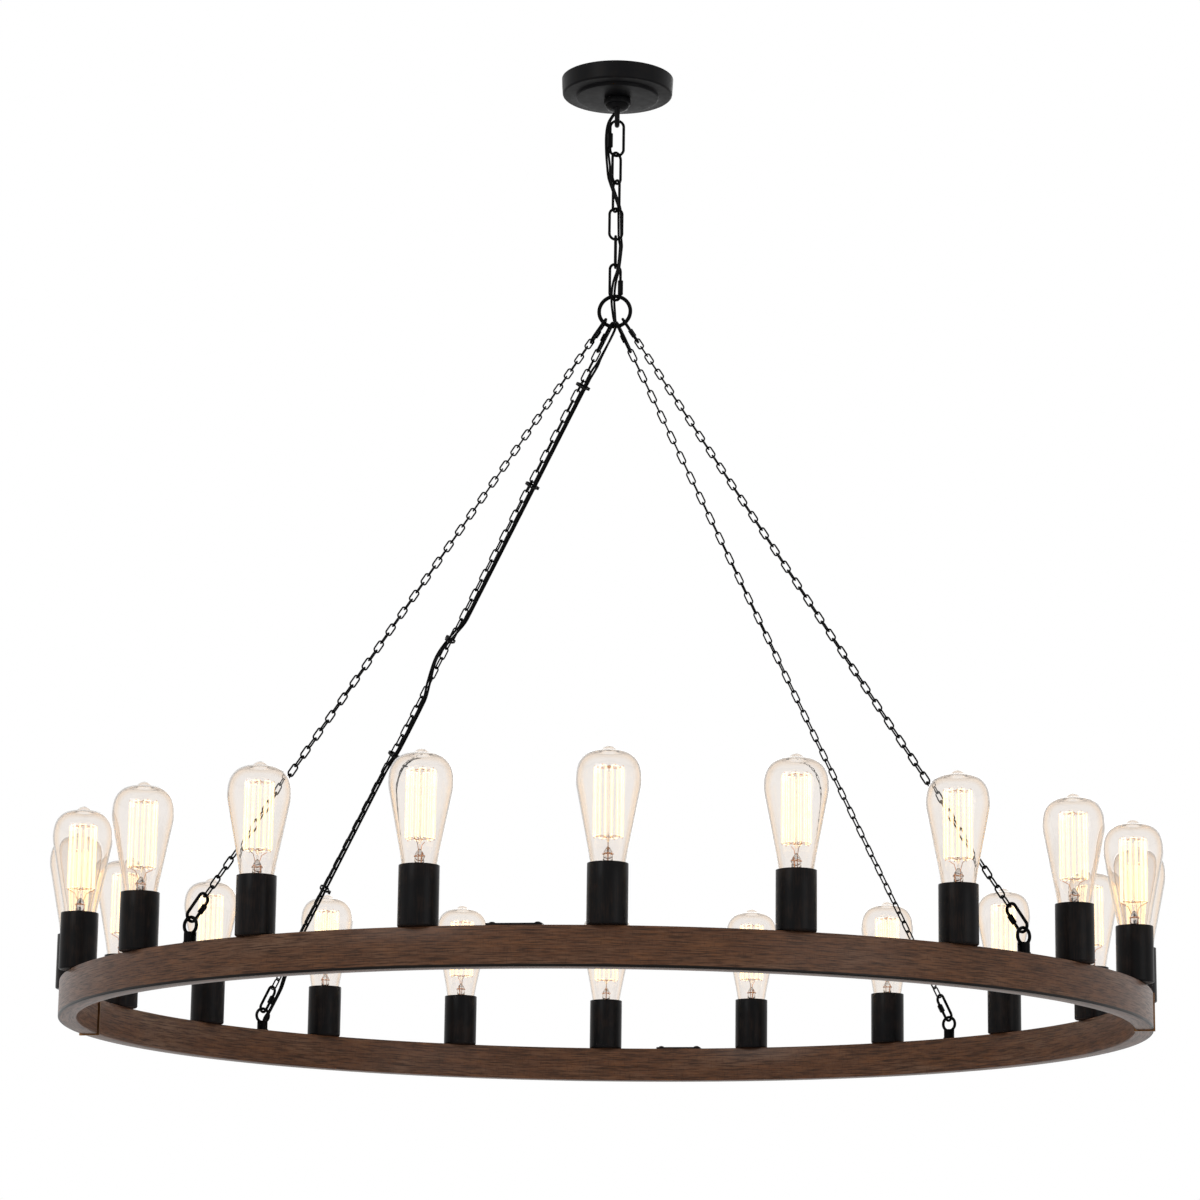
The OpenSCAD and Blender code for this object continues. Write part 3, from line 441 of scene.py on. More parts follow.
def pattern_group(name, **inputs):
    """A group that takes a place and these inputs, and gives colour, height and roughness."""
    kinds = {4: "NodeSocketColor", 3: "NodeSocketVector"}
    sockets = [("Vector", "NodeSocketVector", None)]
    for socket, value in inputs.items():
        kind = kinds[len(value)] if isinstance(value, tuple) else "NodeSocketFloat"
        sockets.append((socket, kind, value))
    return group(name, sockets, [("Color", "NodeSocketColor"), ("Height", "NodeSocketFloat"),
                                 ("Roughness", "NodeSocketFloat")])


def make_around_group():
    """Turns a place into distance along the rim, height and distance across the tube."""
    tree, work, source, result = group(
        "Around the rim", [("Vector", "NodeSocketVector", None),
                           ("Radius", "NodeSocketFloat", 0.6), ("Seam", "NodeSocketFloat", 0.0)],
        [("Vector", "NodeSocketVector")])
    turned = work.add("ShaderNodeVectorRotate", rotation_type="Z_AXIS",
                      inputs={"Vector": source["Vector"], "Angle": source["Seam"]})
    xyz = work.add("ShaderNodeSeparateXYZ", inputs={0: turned.outputs[0]})
    along = work.math("MULTIPLY", work.math("ARCTAN2", xyz.outputs[1], xyz.outputs[0]),
                      source["Radius"])
    squares = [work.math("MULTIPLY", part, part) for part in xyz.outputs[:2]]
    across = work.math("SQRT", work.math("ADD", *squares))
    made = work.add("ShaderNodeCombineXYZ", inputs={0: along, 1: xyz.outputs[2], 2: across})
    work.put(result[0], made.outputs[0])
    return tree


def make_plank_group():
    """Weathered plank print: long dark streaks, pale rubbed ones, warm patches, cross marks."""
    tree, work, source, result = pattern_group(
        "Weathered plank", Plank=(0.2, 0.1, 0.1, 1), Streak=(0.1, 0.05, 0.04, 1),
        Bleach=(0.3, 0.25, 0.2, 1), Patch=(0.2, 0.1, 0.05, 1), Grain=1.0)
    vector = source["Vector"]
    drift = work.noise(work.stretch(vector, (6.0, 30.0, 30.0)), 1.0, 3.0, 0.6)
    blotch = work.noise(work.stretch(vector, (26.0, 85.0, 85.0)), 1.0, 4.0, 0.65)
    long_grain = work.noise(work.stretch(vector, (34.0, 780.0, 780.0)), 1.0, 4.0, 0.64)
    fine_grain = work.noise(work.stretch(vector, (95.0, 1500.0, 1500.0)), 1.0, 3.0, 0.6)
    cross = work.noise(work.stretch(vector, (900.0, 120.0, 120.0)), 1.0, 2.0, 0.5)
    shade = work.mix(work.ramp(blotch, 0.42, 0.68), source["Plank"], source["Patch"])
    pale = work.math("MULTIPLY", work.ramp(drift, 0.46, 0.70), work.ramp(long_grain, 0.62, 0.40))
    shade = work.mix(pale, shade, source["Bleach"])
    fine = work.math("MULTIPLY", work.ramp(fine_grain, 0.56, 0.40), 0.40)
    shade = work.mix(fine, shade, source["Bleach"])
    dark = work.math("MULTIPLY", work.ramp(long_grain, 0.42, 0.64), 0.74)
    shade = work.mix(dark, shade, source["Streak"])
    shade = work.mix(work.math("MULTIPLY", work.ramp(cross, 0.54, 0.72), 0.32), shade,
                     source["Streak"])
    work.put(result["Color"], shade)
    lift = work.math("SUBTRACT", 1.0, work.math("ADD", work.math("MULTIPLY", long_grain, 0.6),
                                                work.math("MULTIPLY", fine_grain, 0.4)))
    work.put(result["Height"], work.math("MULTIPLY", lift, source["Grain"]))
    work.put(result["Roughness"], work.math("ADD", 0.26, work.math("MULTIPLY", long_grain, 0.22)))
    return tree


def make_brushed_group():
    """A dark brushed coat with faint streaks along one direction and bronze rubbed through."""
    tree, work, source, result = pattern_group(
        "Brushed dark coat", Coat=(0.01, 0.01, 0.01, 1), Bronze=(0.06, 0.04, 0.03, 1),
        Stretch=(1500.0, 1500.0, 30.0), Rub=0.3, Roughness=0.45)
    lines = work.noise(work.stretch(source["Vector"], source["Stretch"]), 1.0, 3.0, 0.6)
    cloud = work.noise(source["Vector"], 45.0, 3.0, 0.6)
    both = work.math("ADD", work.math("MULTIPLY", lines, 0.5), work.math("MULTIPLY", cloud, 0.5))
    rub = work.math("MULTIPLY", work.ramp(both, 0.44, 0.68), source["Rub"], clamp=True)
    work.put(result["Color"], work.mix(rub, source["Coat"], source["Bronze"]))
    work.put(result["Height"], lines)
    work.put(result["Roughness"],
             work.math("ADD", source["Roughness"], work.math("MULTIPLY",
                       work.math("SUBTRACT", lines, 0.5), 0.25), clamp=True))
    return tree


def make_satin_group():
    """Fine unevenness of a satin coat on steel wire or sheet."""
    tree, work, source, result = pattern_group(
        "Satin unevenness", Color=(0.01, 0.01, 0.01, 1), Worn=(0.05, 0.04, 0.03, 1),
        Wear=0.2, Roughness=0.45)
    coarse = work.noise(source["Vector"], 160.0, 3.0, 0.6)
    fine = work.noise(source["Vector"], 1400.0, 2.0, 0.5)
    worn = work.math("MULTIPLY", work.ramp(coarse, 0.52, 0.74), source["Wear"], clamp=True)
    work.put(result["Color"], work.mix(worn, source["Color"], source["Worn"]))
    work.put(result["Height"], fine)
    work.put(result["Roughness"],
             work.math("ADD", source["Roughness"],
                       work.math("MULTIPLY", work.math("SUBTRACT", coarse, 0.5), 0.3), clamp=True))
    return tree


def material(name):
    """A new material with its Principled node, and its Object coordinates."""
    made = bpy.data.materials.new(name)
    made.use_nodes = True
    work = Nodes(made.node_tree)
    shader = next(n for n in made.node_tree.nodes if n.type == "BSDF_PRINCIPLED")
    place = work.add("ShaderNodeTexCoord").outputs["Object"]
    return made, work, shader, place


def use_group(work, tree, **values):
    return work.add("ShaderNodeGroup", node_tree=tree, inputs=values)


def feed(work, shader, pattern, bump=0.1, distance=0.0002):
    """Join a pattern group's colour, roughness and height to a Principled node."""
    work.put(shader.inputs["Base Color"], pattern.outputs["Color"])
    work.put(shader.inputs["Roughness"], pattern.outputs["Roughness"])
    node = work.add("ShaderNodeBump", inputs={"Strength": bump, "Distance": distance})
    work.put(node.inputs["Height"], pattern.outputs["Height"])
    work.put(shader.inputs["Normal"], node.outputs[0])


FINISHES = {}


def make_finishes():
    """All finishes of the object, by plain names."""
    wheel = bpy.context.scene.chandelier_wheel
    lamp = bpy.context.scene.chandelier_lamp
    around, plank = make_around_group(), make_plank_group()
    brushed, satin = make_brushed_group(), make_satin_group()

    made, work, shader, place = material("Weathered brown wheel")
    rim = use_group(work, around, Vector=place, Radius=WHEEL_R, Seam=radians(-JOINT_TURN))
    pattern = use_group(work, plank, Vector=rim.outputs[0], Plank=opaque(wheel.plank),
                        Streak=opaque(wheel.streak), Bleach=opaque(wheel.bleach),
                        Patch=opaque(wheel.rust))
    feed(work, shader, pattern, 0.25, 0.0002)
    xyz = work.add("ShaderNodeSeparateXYZ", inputs={0: rim.outputs[0]})
    low = work.ramp(xyz.outputs[1], WHEEL_FOOT + 0.0029, WHEEL_FOOT + 0.0023)
    outer = work.ramp(xyz.outputs[2], WHEEL_R - 0.0026, WHEEL_R - 0.0018)
    seam = work.math("MULTIPLY", low, outer)
    work.put(shader.inputs["Base Color"],
             work.mix(seam, pattern.outputs["Color"], (0.006, 0.004, 0.003, 1)))
    shader.inputs["Specular IOR Level"].default_value = 0.08
    shader.inputs["Coat Weight"].default_value = 0.10
    shader.inputs["Coat Roughness"].default_value = 0.2
    FINISHES["wheel"] = made

    def metal_finish(key, name, tree, specular, metal, bump, **values):
        made, work, shader, place = material(name)
        feed(work, shader, use_group(work, tree, Vector=place, **values), bump, 0.0001)
        shader.inputs["Specular IOR Level"].default_value = specular
        shader.inputs["Metallic"].default_value = metal
        FINISHES[key] = made

    # Coat, rubbed bronze, stretch, share rubbed, roughness, specular level, metal, bump
    for key, name, coat, bronze, stretch, rub, rough, specular, metal, bump in (
            ("sleeve", "Black bronze sleeve", (0.0040, 0.0038, 0.0042), (0.024, 0.014, 0.010),
             (700.0, 700.0, 60.0), 0.5, 0.34, 0.07, 0.0, 0.08),
            ("canopy", "Black canopy", (0.0042, 0.0042, 0.0048), (0.018, 0.013, 0.009),
             (120.0, 120.0, 120.0), 0.2, 0.40, 0.07, 0.0, 0.08),
            ("bronze", "Rubbed bronze plate", (0.16, 0.075, 0.028), (0.42, 0.22, 0.09),
             (300.0, 300.0, 40.0), 0.7, 0.35, 0.5, 0.85, 0.1),
            ("zinc", "Zinc plated steel", (0.50, 0.50, 0.49), (0.66, 0.65, 0.60),
             (60.0, 900.0, 900.0), 0.6, 0.32, 0.5, 1.0, 0.1),
            ("brass", "Yellow plated thread", (0.56, 0.42, 0.20), (0.72, 0.58, 0.32),
             (200.0, 200.0, 1600.0), 0.6, 0.3, 0.5, 1.0, 0.2)):
        metal_finish(key, name, brushed, specular, metal, bump, Coat=opaque(coat),
                     Bronze=opaque(bronze), Stretch=stretch, Rub=rub, Roughness=rough)

    # Colour, worn colour, share worn, roughness, specular level, metal
    for key, name, fresh, worn, wear, rough, specular, metal in (
            ("chain", "Black chain", (0.0016, 0.0016, 0.0018), (0.012, 0.009, 0.007),
             0.35, 0.34, 0.035, 0.0),
            ("holder", "Black lampholder", (0.006, 0.006, 0.006), (0.015, 0.015, 0.015),
             0.3, 0.45, 0.12, 0.0),
            ("lead", "Black lead", (0.0024, 0.0024, 0.0026), (0.006, 0.006, 0.006),
             0.3, 0.40, 0.06, 0.0),
            ("wire", "Grey hook-up wire", (0.25, 0.25, 0.25), (0.3, 0.3, 0.3), 0.3, 0.5, 0.4, 0.0),
            ("earth", "Green earth screw", (0.02, 0.16, 0.05), (0.2, 0.22, 0.2),
             0.4, 0.35, 0.5, 0.4),
            ("copper", "Copper hooks", (0.70, 0.32, 0.14), (0.85, 0.5, 0.28), 0.5, 0.3, 0.5, 0.9),
            ("nickel", "Screw base", (0.55, 0.50, 0.42), (0.7, 0.66, 0.58), 0.5, 0.28, 0.5, 1.0)):
        metal_finish(key, name, satin, specular, metal, 0.05, Color=opaque(fresh),
                     Worn=opaque(worn), Wear=wear, Roughness=rough)

    made, work, shader, place = material("Clear bulb glass")
    facing = work.add("ShaderNodeLayerWeight", inputs={"Blend": 0.5}).outputs["Facing"]
    speck = work.noise(place, 40.0, 2.0)
    clear = work.mix(speck, (0.925, 0.900, 0.888, 1), (0.945, 0.912, 0.872, 1))
    amber = work.mix(work.ramp(facing, 0.30, 0.60), clear, (0.945, 0.80, 0.66, 1))
    # Painted shade: where the glass is seen edge-on, its colour turns to a dark grey outline. This
    # stands in for the dark rim that bent light gives a glass bulb.
    work.put(shader.inputs["Base Color"],
             work.mix(work.ramp(facing, 0.63, 0.82), amber, (0.30, 0.27, 0.25, 1)))
    shader.inputs["Transmission Weight"].default_value = 1.0
    shader.inputs["Roughness"].default_value = 0.0
    shader.inputs["IOR"].default_value = 1.4
    FINISHES["glass"] = made

    made, work, shader, place = material("Glowing filament")
    pulse = work.noise(place, 240.0, 2.0)
    glow = work.mix(work.ramp(pulse, 0.35, 0.65), (1.0, 0.84, 0.50, 1), (1.0, 0.93, 0.64, 1))
    work.put(shader.inputs["Emission Color"], glow)
    work.put(shader.inputs["Base Color"], glow)
    shader.inputs["Emission Strength"].default_value = lamp.glow
    FINISHES["filament"] = made

    made, work, shader, place = material("Filament halo")
    facing = work.add("ShaderNodeLayerWeight", inputs={"Blend": 0.5}).outputs["Facing"]
    shader.inputs["Base Color"].default_value = (1.0, 0.80, 0.58, 1)
    shader.inputs["Emission Color"].default_value = (1.0, 0.76, 0.48, 1)
    shader.inputs["Emission Strength"].default_value = 0.90
    shader.inputs["Specular IOR Level"].default_value = 0.0
    work.put(shader.inputs["Alpha"],
             work.math("MULTIPLY", work.math("SUBTRACT", 1.0, facing, clamp=True), 0.34))
    FINISHES["halo"] = made


# ---- Operators ----


class CHANDELIER_OT_stage(bpy.types.Operator):
    """Place the camera, the floor, the backdrop light and the studio lamps"""
    bl_idname = "chandelier.stage"
    bl_label = "Stage"

    def execute(self, context):
        stage = context.scene.chandelier_stage
        self.camera(context, stage)
        self.floor(stage)
        self.lights(context)
        context.scene.view_settings.view_transform = "Standard"
        return {"FINISHED"}

    def camera(self, context, stage):
        data = bpy.data.cameras.new("Camera")
        data.lens = stage.focal
        data.sensor_width = 36.0
        data.shift_x = stage.shift
        camera = bpy.data.objects.new("Camera", data)
        context.collection.objects.link(camera)
        right = Vector((1, 0, 0))
        up = Vector((0, -sin(stage.pitch), cos(stage.pitch)))
        ahead = Vector((0, cos(stage.pitch), sin(stage.pitch)))
        c, s = cos(stage.roll), sin(stage.roll)
        x_axis = c * right - s * up
        y_axis = s * right + c * up
        turned = Matrix((x_axis, y_axis, -ahead)).transposed().to_4x4()
        camera.matrix_world = Matrix.Translation((0, -stage.distance, stage.height)) @ turned
        context.scene.camera = camera

    def floor(self, stage):
        deselect()
        bpy.ops.mesh.primitive_plane_add(size=14.0, location=(0, 0, -stage.floor_drop))
        floor_ = bpy.context.object
        floor_.name = "studio_floor"
        settle(floor_)
        made, work, shader, place = material("Studio floor")
        tone = work.mix(work.noise(place, 3.0), (0.88, 0.88, 0.88, 1), (0.92, 0.92, 0.92, 1))
        work.put(shader.inputs["Base Color"], tone)
        shader.inputs["Roughness"].default_value = 0.9
        shader.inputs["Specular IOR Level"].default_value = 0.1
        floor_.data.materials.append(made)

    def lights(self, context):
        world = bpy.data.worlds.new("Studio")
        world.use_nodes = True
        context.scene.world = world
        work = Nodes(world.node_tree)
        shader = next(n for n in world.node_tree.nodes if n.type == "BACKGROUND")
        path = work.add("ShaderNodeLightPath").outputs
        seen = work.math("MAXIMUM", path["Is Camera Ray"],
                         work.math("MAXIMUM", path["Is Glossy Ray"],
                                   path["Is Transmission Ray"]))
        level = work.math("ADD", 0.55, work.math("MULTIPLY", seen, 0.45))
        work.put(shader.inputs["Strength"], level)
        shader.inputs["Color"].default_value = (1, 1, 1, 1)
        for name, spot, side, power in (("Key light", (-3.4, -4.2, 1.2), 2.2, 62.0),
                                        ("Fill light", (3.6, -3.6, -0.6), 2.4, 34.0),
                                        ("Back light", (0.6, 4.4, 0.8), 2.4, 30.0)):
            data = bpy.data.lights.new(name, "AREA")
            data.shape = "SQUARE"
            data.size = side
            data.energy = power
            lamp = bpy.data.objects.new(name, data)
            context.collection.objects.link(lamp)
            lamp.location = spot
            lamp.visible_camera = False
            lamp.visible_transmission = False
            aim = Vector((0, 0, -0.9)) - Vector(spot)
            lamp.rotation_euler = aim.to_track_quat("-Z", "Y").to_euler()


# The lead's route, repeated from the part: x, y, z in millimetres and the turn of the pair
UPPER_ROUTE = (
    (0, 0, -3, 90), (0, 0, -37.5, 90), (-3.6, 0.6, -42, 86), (-9.9, 2.6, -53, 75),
    (-11.6, 4.6, -68, 50), (-11, 3.6, -88, 35), (-9.3, 0.6, -106, 0), (-7.8, -0.6, -122, -50),
    (3, 3.8, -152, -60), (4.2, 6, -160, -30), (5, 5.6, -192, 20), (6.2, 3.6, -202, 45),
    (3.6, -3, -231, 60), (-1, 1.8, -248, 20), (-2.3, 6, -267, 0), (-0.6, 6, -286, -45),
    (0.6, 6.6, -301, -90),
)
# Along the chain: x, y across it, the distance down it and the turn
CHAIN_ROUTE = (
    (-5.6, -3.2, 38, -30), (-6.6, -2.4, 47, 0), (-6.4, -1.4, 56, 50), (-6.1, -1.4, 66, 90),
    (-6.3, -1.2, 390, 90), (-4.6, 4.8, 415, 44), (0.6, 6.6, 440, -5), (0.6, 6.6, 456, -5),
    (-4.6, 4.8, 481, 44), (-6.2, 0, 504, 90), (-6.2, 0, 572, 90), (-5.3, 3.6, 604, 56),
    (-5.3, 3.6, 866, 56), (-6.2, -0.4, 888, 90), (-6.2, -3.2, 902, 95),
    (-6, -5.6, 914, 100), (-5.4, -6.8, 930, 110),
)
# Into the coupling: outward, sideways and up from the anchor, and the turn
ENTRY_ROUTE = (
    (-10.5, -6, 30, 115), (-7.4, -4.4, 23.5, 115), (-5.2, -1.8, 18, 105),
    (-4.1, -0.3, 14, 95), (-3.9, 0, 11, 90), (-3.9, 0, -6, 90),
)


def lead_chain_place():
    """From the lead chain's own frame, -Z down the chain, to the frame of the object."""
    ring_r = ring_radius()
    ring_z = (ring_high.z + ring_low.z) / 2
    hook, turn = radians(HOOK_TURNS[LEAD_CHAIN]), radians(RING_TURN)
    start = Vector((ring_r * sin(hook) * cos(turn), ring_r * sin(hook) * sin(turn),
                    ring_z - ring_r * cos(hook)))
    eye_low, eye_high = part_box("eye_bolts")
    eye_wire = 0.0035
    middle = tube_middle()
    anchor = radians(ANCHOR_TURNS[LEAD_CHAIN])
    end = Vector((middle * cos(anchor), middle * sin(anchor), eye_high.z - eye_wire / 2))
    run = end - start
    tilt = Matrix.Rotation(-atan2(hypot(run.x, run.y), -run.z), 4, "Y")
    return Matrix.Translation(start) @ turn_z(degrees(atan2(run.y, run.x))) @ tilt


def strand_points(side):
    """The points of one strand: side is 1 or -1."""
    half = bpy.context.scene.chandelier_hanging.half_pair
    chain = lead_chain_place()
    middle = tube_middle()
    anchor = turn_z(ANCHOR_TURNS[LEAD_CHAIN])

    def offset(turn):
        return side * half * Vector((cos(radians(turn)), sin(radians(turn)), 0))

    points = [Vector((x, y, z)) * MM + offset(t) for x, y, z, t in UPPER_ROUTE]
    points += [chain @ (Vector((x, y, -s)) * MM - offset(t)) for x, y, s, t in CHAIN_ROUTE]
    points += [anchor @ (Vector((middle, 0, WHEEL_TOP)) + Vector((x, y, z)) * MM - offset(t))
               for x, y, z, t in ENTRY_ROUTE]
    return points


def eased(points, steps=5):
    """Points on a smooth curve through the given ones; long runs stay nearly straight."""
    ends = [2 * points[0] - points[1], *points, 2 * points[-1] - points[-2]]
    curve = []
    for a, b, c, d in zip(ends, ends[1:], ends[2:], ends[3:]):
        run = (c - b).length
        before = (c - a).normalized() * min(run, 1.2 * (b - a).length)
        after = (d - b).normalized() * min(run, 1.2 * (d - c).length)
        for i in range(steps):
            t = i / steps
            curve.append((2 * t ** 3 - 3 * t ** 2 + 1) * b + (t ** 3 - 2 * t ** 2 + t) * before
                         + (3 * t ** 2 - 2 * t ** 3) * c + (t ** 3 - t ** 2) * after)
    return [*curve, points[-1]]


class CHANDELIER_OT_lead(bpy.types.Operator):
    """Make the twin lead, in lengths cut halfway between the heights of the hinges"""
    bl_idname = "chandelier.lead"
    bl_label = "Twin lead"

    def execute(self, context):
        hanging = context.scene.chandelier_hanging
        heights = [j["pos_m"][2] for j in HINGES]
        cuts = [(a + b) / 2 for a, b in zip(heights, heights[1:])]
        for side, node in ((1, "power_cord"), (-1, "earth_wire")):
            rest = eased(strand_points(side))
            for count, hinge in enumerate(HINGES):
                stop = len(rest) - 1
                if count < len(cuts):
                    stop = next(i for i, p in enumerate(rest) if p.z < cuts[count])
                piece = wire_along(f"{node}_{count + 1}", rest[:stop + 1], hanging.strand)
                rest = rest[stop:]
                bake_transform(piece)
                dress(piece, "lead", replaced=[node])
        return {"FINISHED"}


class CHANDELIER_OT_wheel(bpy.types.Operator):
    """Make the two halves of the wheel and finish the joints and covers"""
    bl_idname = "chandelier.wheel"
    bl_label = "Wheel"

    def execute(self, context):
        wheel = context.scene.chandelier_wheel
        gap_turn = degrees(asin(wheel.joint_gap / WHEEL_R))
        e = wheel.edge_radius
        r_in, r_out = WHEEL_R - wheel.tube_width, WHEEL_R
        outline = (arc_points(r_out - e, WHEEL_FOOT + e, e, -90, 0, 3)
                   + arc_points(r_out - e, WHEEL_TOP - e, e, 0, 90, 3)
                   + arc_points(r_in + e, WHEEL_TOP - e, e, 90, 180, 3)
                   + arc_points(r_in + e, WHEEL_FOOT + e, e, 180, 270, 3))
        outline.append(outline[0])
        sweep = radians(180 - 2 * gap_turn)
        half = lathe("wheel_half", outline, 120, sweep, 30)
        apply_modifier(half, "Wall", "SOLIDIFY", thickness=wheel.tube_wall, offset=-1.0)
        smooth(half, 30)
        halves = {"wheel_half_back": JOINT_TURN, "wheel_half_front": JOINT_TURN + 180}
        for name, start in halves.items():
            piece = turned_copy(half, f"{name}_rim", turn_z(start + gap_turn))
            dress(piece, "wheel", "wheel", [name])
        remove(half)
        finish_node("joint_plates", "bronze")
        for node in ("access_covers", "cover_screws", "splice_screws"):
            finish_node(node, "sleeve")
        finish_node("splice_bars", "zinc")
        finish_node("wheel_wiring", "wire")
        return {"FINISHED"}


class CHANDELIER_OT_sockets(bpy.types.Operator):
    """Make the socket sleeves and finish the lampholders inside them"""
    bl_idname = "chandelier.sockets"
    bl_label = "Socket sleeves"

    def execute(self, context):
        lamp = context.scene.chandelier_lamp
        r = sleeve_high.y - tube_middle()
        h = sleeve_high.z - sleeve_low.z
        w, e, rim = lamp.sleeve_wall, lamp.sleeve_edge, 0.0004
        outline = [(lamp.sleeve_hole, 0.0), *arc_points(r - e, e, e, -90, 0, 6),
                   (r, h * 0.35), (r, h * 0.7), *arc_points(r - rim, h - rim, rim, 0, 90, 2),
                   *arc_points(r - w + rim, h - rim, rim, 90, 180, 2),
                   (r - w, lamp.sleeve_floor), (lamp.sleeve_hole, lamp.sleeve_floor),
                   (lamp.sleeve_hole, 0.0)]
        sleeve = lathe("sleeve", outline, 56)
        copies = [turned_copy(sleeve, f"sleeve_{k + 1:02d}", lamp_place(k))
                  for k in range(LAMP_COUNT)]
        remove(sleeve)
        whole = joined("socket_sleeve_set", copies)
        dress(whole, "sleeve", "wheel", ["socket_sleeves"])
        finish_node("lampholders", "holder")
        finish_node("socket_nipples", "brass")
        return {"FINISHED"}


class CHANDELIER_OT_bulbs(bpy.types.Operator):
    """Make the twenty filament bulbs: glass, stem, hooks, filament and screw base"""
    bl_idname = "chandelier.bulbs"
    bl_label = "Bulbs"

    def execute(self, context):
        lamp = context.scene.chandelier_lamp
        glass = self.glass(lamp)
        metal = self.metal(lamp)
        glow = self.filament(lamp)
        for k, name in enumerate(LAMP_NAMES):
            place = lamp_place(k) @ Matrix.Translation((0, 0, bulb_high.z - WHEEL_TOP))
            for piece, part in ((glass, "glass"), (metal, "metal"), (glow, "filament")):
                twin = turned_copy(piece, f"{name}_{part}", place)
                dress(twin, None, name, [name])
        remove(glass, metal, glow)
        return {"FINISHED"}

    def glass_radius(self, lamp, h):
        """Outer radius of the glass at a distance below the tip, in metres."""
        tip_h, tip_r, shoulder, blend, slope = 0.005, 0.0084, 0.033, 0.008, 0.2
        neck = lamp.base_radius + 0.004
        if h < tip_h:
            t = 1 - h / tip_h
            return tip_r * (1 - t * t) ** 0.4 * (0.72 + 0.28 * (1 - t))
        if h < shoulder:
            t = 1 - (h - tip_h) / (shoulder - tip_h)
            return tip_r + (lamp.bulb_radius - tip_r) * (1 - t ** 2.4) ** (1 / 2.4)
        if h < shoulder + blend:
            return lamp.bulb_radius - slope * (h - shoulder) ** 2 / (2 * blend)
        return max(neck, lamp.bulb_radius - slope * (h - shoulder - blend / 2))

    def glass(self, lamp):
        foot = lamp.base_height - lamp.bulb_length
        stations = [0, 0.0002, 0.0007, 0.0015, 0.0026, 0.0038, 0.005, 0.0053, 0.0058, 0.0066,
                    0.008, 0.010, 0.0125, 0.0155, 0.019, 0.023, 0.028, 0.033, 0.036, 0.039,
                    0.042, 0.055, 0.07, 0.085, 0.1]
        outline = [(self.glass_radius(lamp, h), -h) for h in stations]
        neck = lamp.base_radius + 0.004
        outline += [(neck, foot + 0.004), (neck - 0.001, foot + 0.001), (neck - 0.0035, foot)]
        shell = lathe("shell", outline, 48, angle=60)
        apply_modifier(shell, "Glass wall", "SOLIDIFY", thickness=lamp.glass_wall, offset=-1.0)
        stem_top = -0.098
        stem = lathe("stem", [
            (0, stem_top), (0.0012, stem_top - 0.0003), (0.0022, stem_top - 0.002),
            (0.0040, stem_top - 0.0045), (0.0046, stem_top - 0.008), (0.0050, foot + 0.006),
            (0.0070, foot + 0.003), (0.0100, foot + 0.0012), (0.0100, foot + 0.0004),
            (0, foot + 0.0004)], 20, angle=60)
        high, low = -lamp.cage_top, -lamp.cage_foot
        rod = lathe("rod", [
            (0, high + 0.002), (0.0012, high + 0.0014), (0.0019, high), (0.0014, high - 0.0016),
            (0.0008, high - 0.003), (0.0008, low + 0.003), (0.0016, low + 0.001),
            (0.0022, low - 0.001), (0.0015, low - 0.003), (0.0009, low - 0.005),
            (0.0009, stem_top - 0.001), (0, stem_top - 0.001)], 14, angle=60)
        whole = joined("bulb_glass", [shell, stem, rod])
        whole.data.materials.append(FINISHES["glass"])
        return whole

    def metal(self, lamp):
        length, r = lamp.bulb_length, lamp.base_radius
        pitch, start = 0.0036, 0.006
        threads = floor((lamp.base_height - 0.008) / pitch)
        outline = [(0, -length), (0.0045, -length + 0.0003), (0.005, -length + 0.0014),
                   (0.009, -length + 0.002), (r - 0.0011, -length + 0.0052)]
        for k in range(threads):
            z = -length + start + k * pitch
            for share, depth in ((0, 0.0), (0.25, 0.0003), (0.5, 0.0009), (0.75, 0.0003)):
                outline.append((r - 0.00005 - depth, z + share * pitch))
        top = -length + lamp.base_height - 0.0002
        outline += [(r - 0.00005, -length + start + threads * pitch), (r - 0.00005, top), (0, top)]
        base = lathe("base", outline, 40, angle=50)
        hooks = []
        cage = lamp.cage_radius
        # A hook's wire: distance from the middle, and height as a share of its rise
        hook_shape = ((0.0012, -0.4), (cage * 0.5, 0.8), (cage * 0.93, 0.4),
                      (cage * 1.03, 0.2), (cage * 1.03, -0.6), (cage * 0.97, -0.7))
        half = lamp.loops // 2
        for k in range(half):
            for h, phase, rise in ((lamp.cage_top, 0.5, -0.0012), (lamp.cage_foot, 0.0, 0.0012)):
                a = 2 * pi * (k + phase) / half
                path = [Vector((r * cos(a), r * sin(a), -h + rise * share))
                        for r, share in hook_shape]
                hooks.append(wire_along("hook", path, 0.0005, 8))
        # The two feed wires, from the stem to the cage's foot
        feed_shape = ((0.0022, lamp.base_height - lamp.bulb_length + 0.001), (0.0030, -0.108),
                      (0.0034, -0.1), (0.0062, -0.0935), (cage, -lamp.cage_foot - 0.0006))
        for sign in (1, -1):
            path = [Vector((sign * x, 0, z)) for x, z in feed_shape]
            hooks.append(wire_along("feed", path, 0.0007, 8))
        crown = [Vector((0.0052 * cos(2 * pi * k / 16), 0.0052 * sin(2 * pi * k / 16),
                         -0.1055 + 0.0008 * cos(8 * pi * k / 16))) for k in range(16)]
        hooks.append(wire_along("crown", crown, 0.0008, 8, cyclic=True))
        paint(base, ("nickel", "copper"), 0)
        for hook in hooks:
            paint(hook, ("nickel", "copper"), 1)
        return joined("bulb_metal", [base, *hooks])

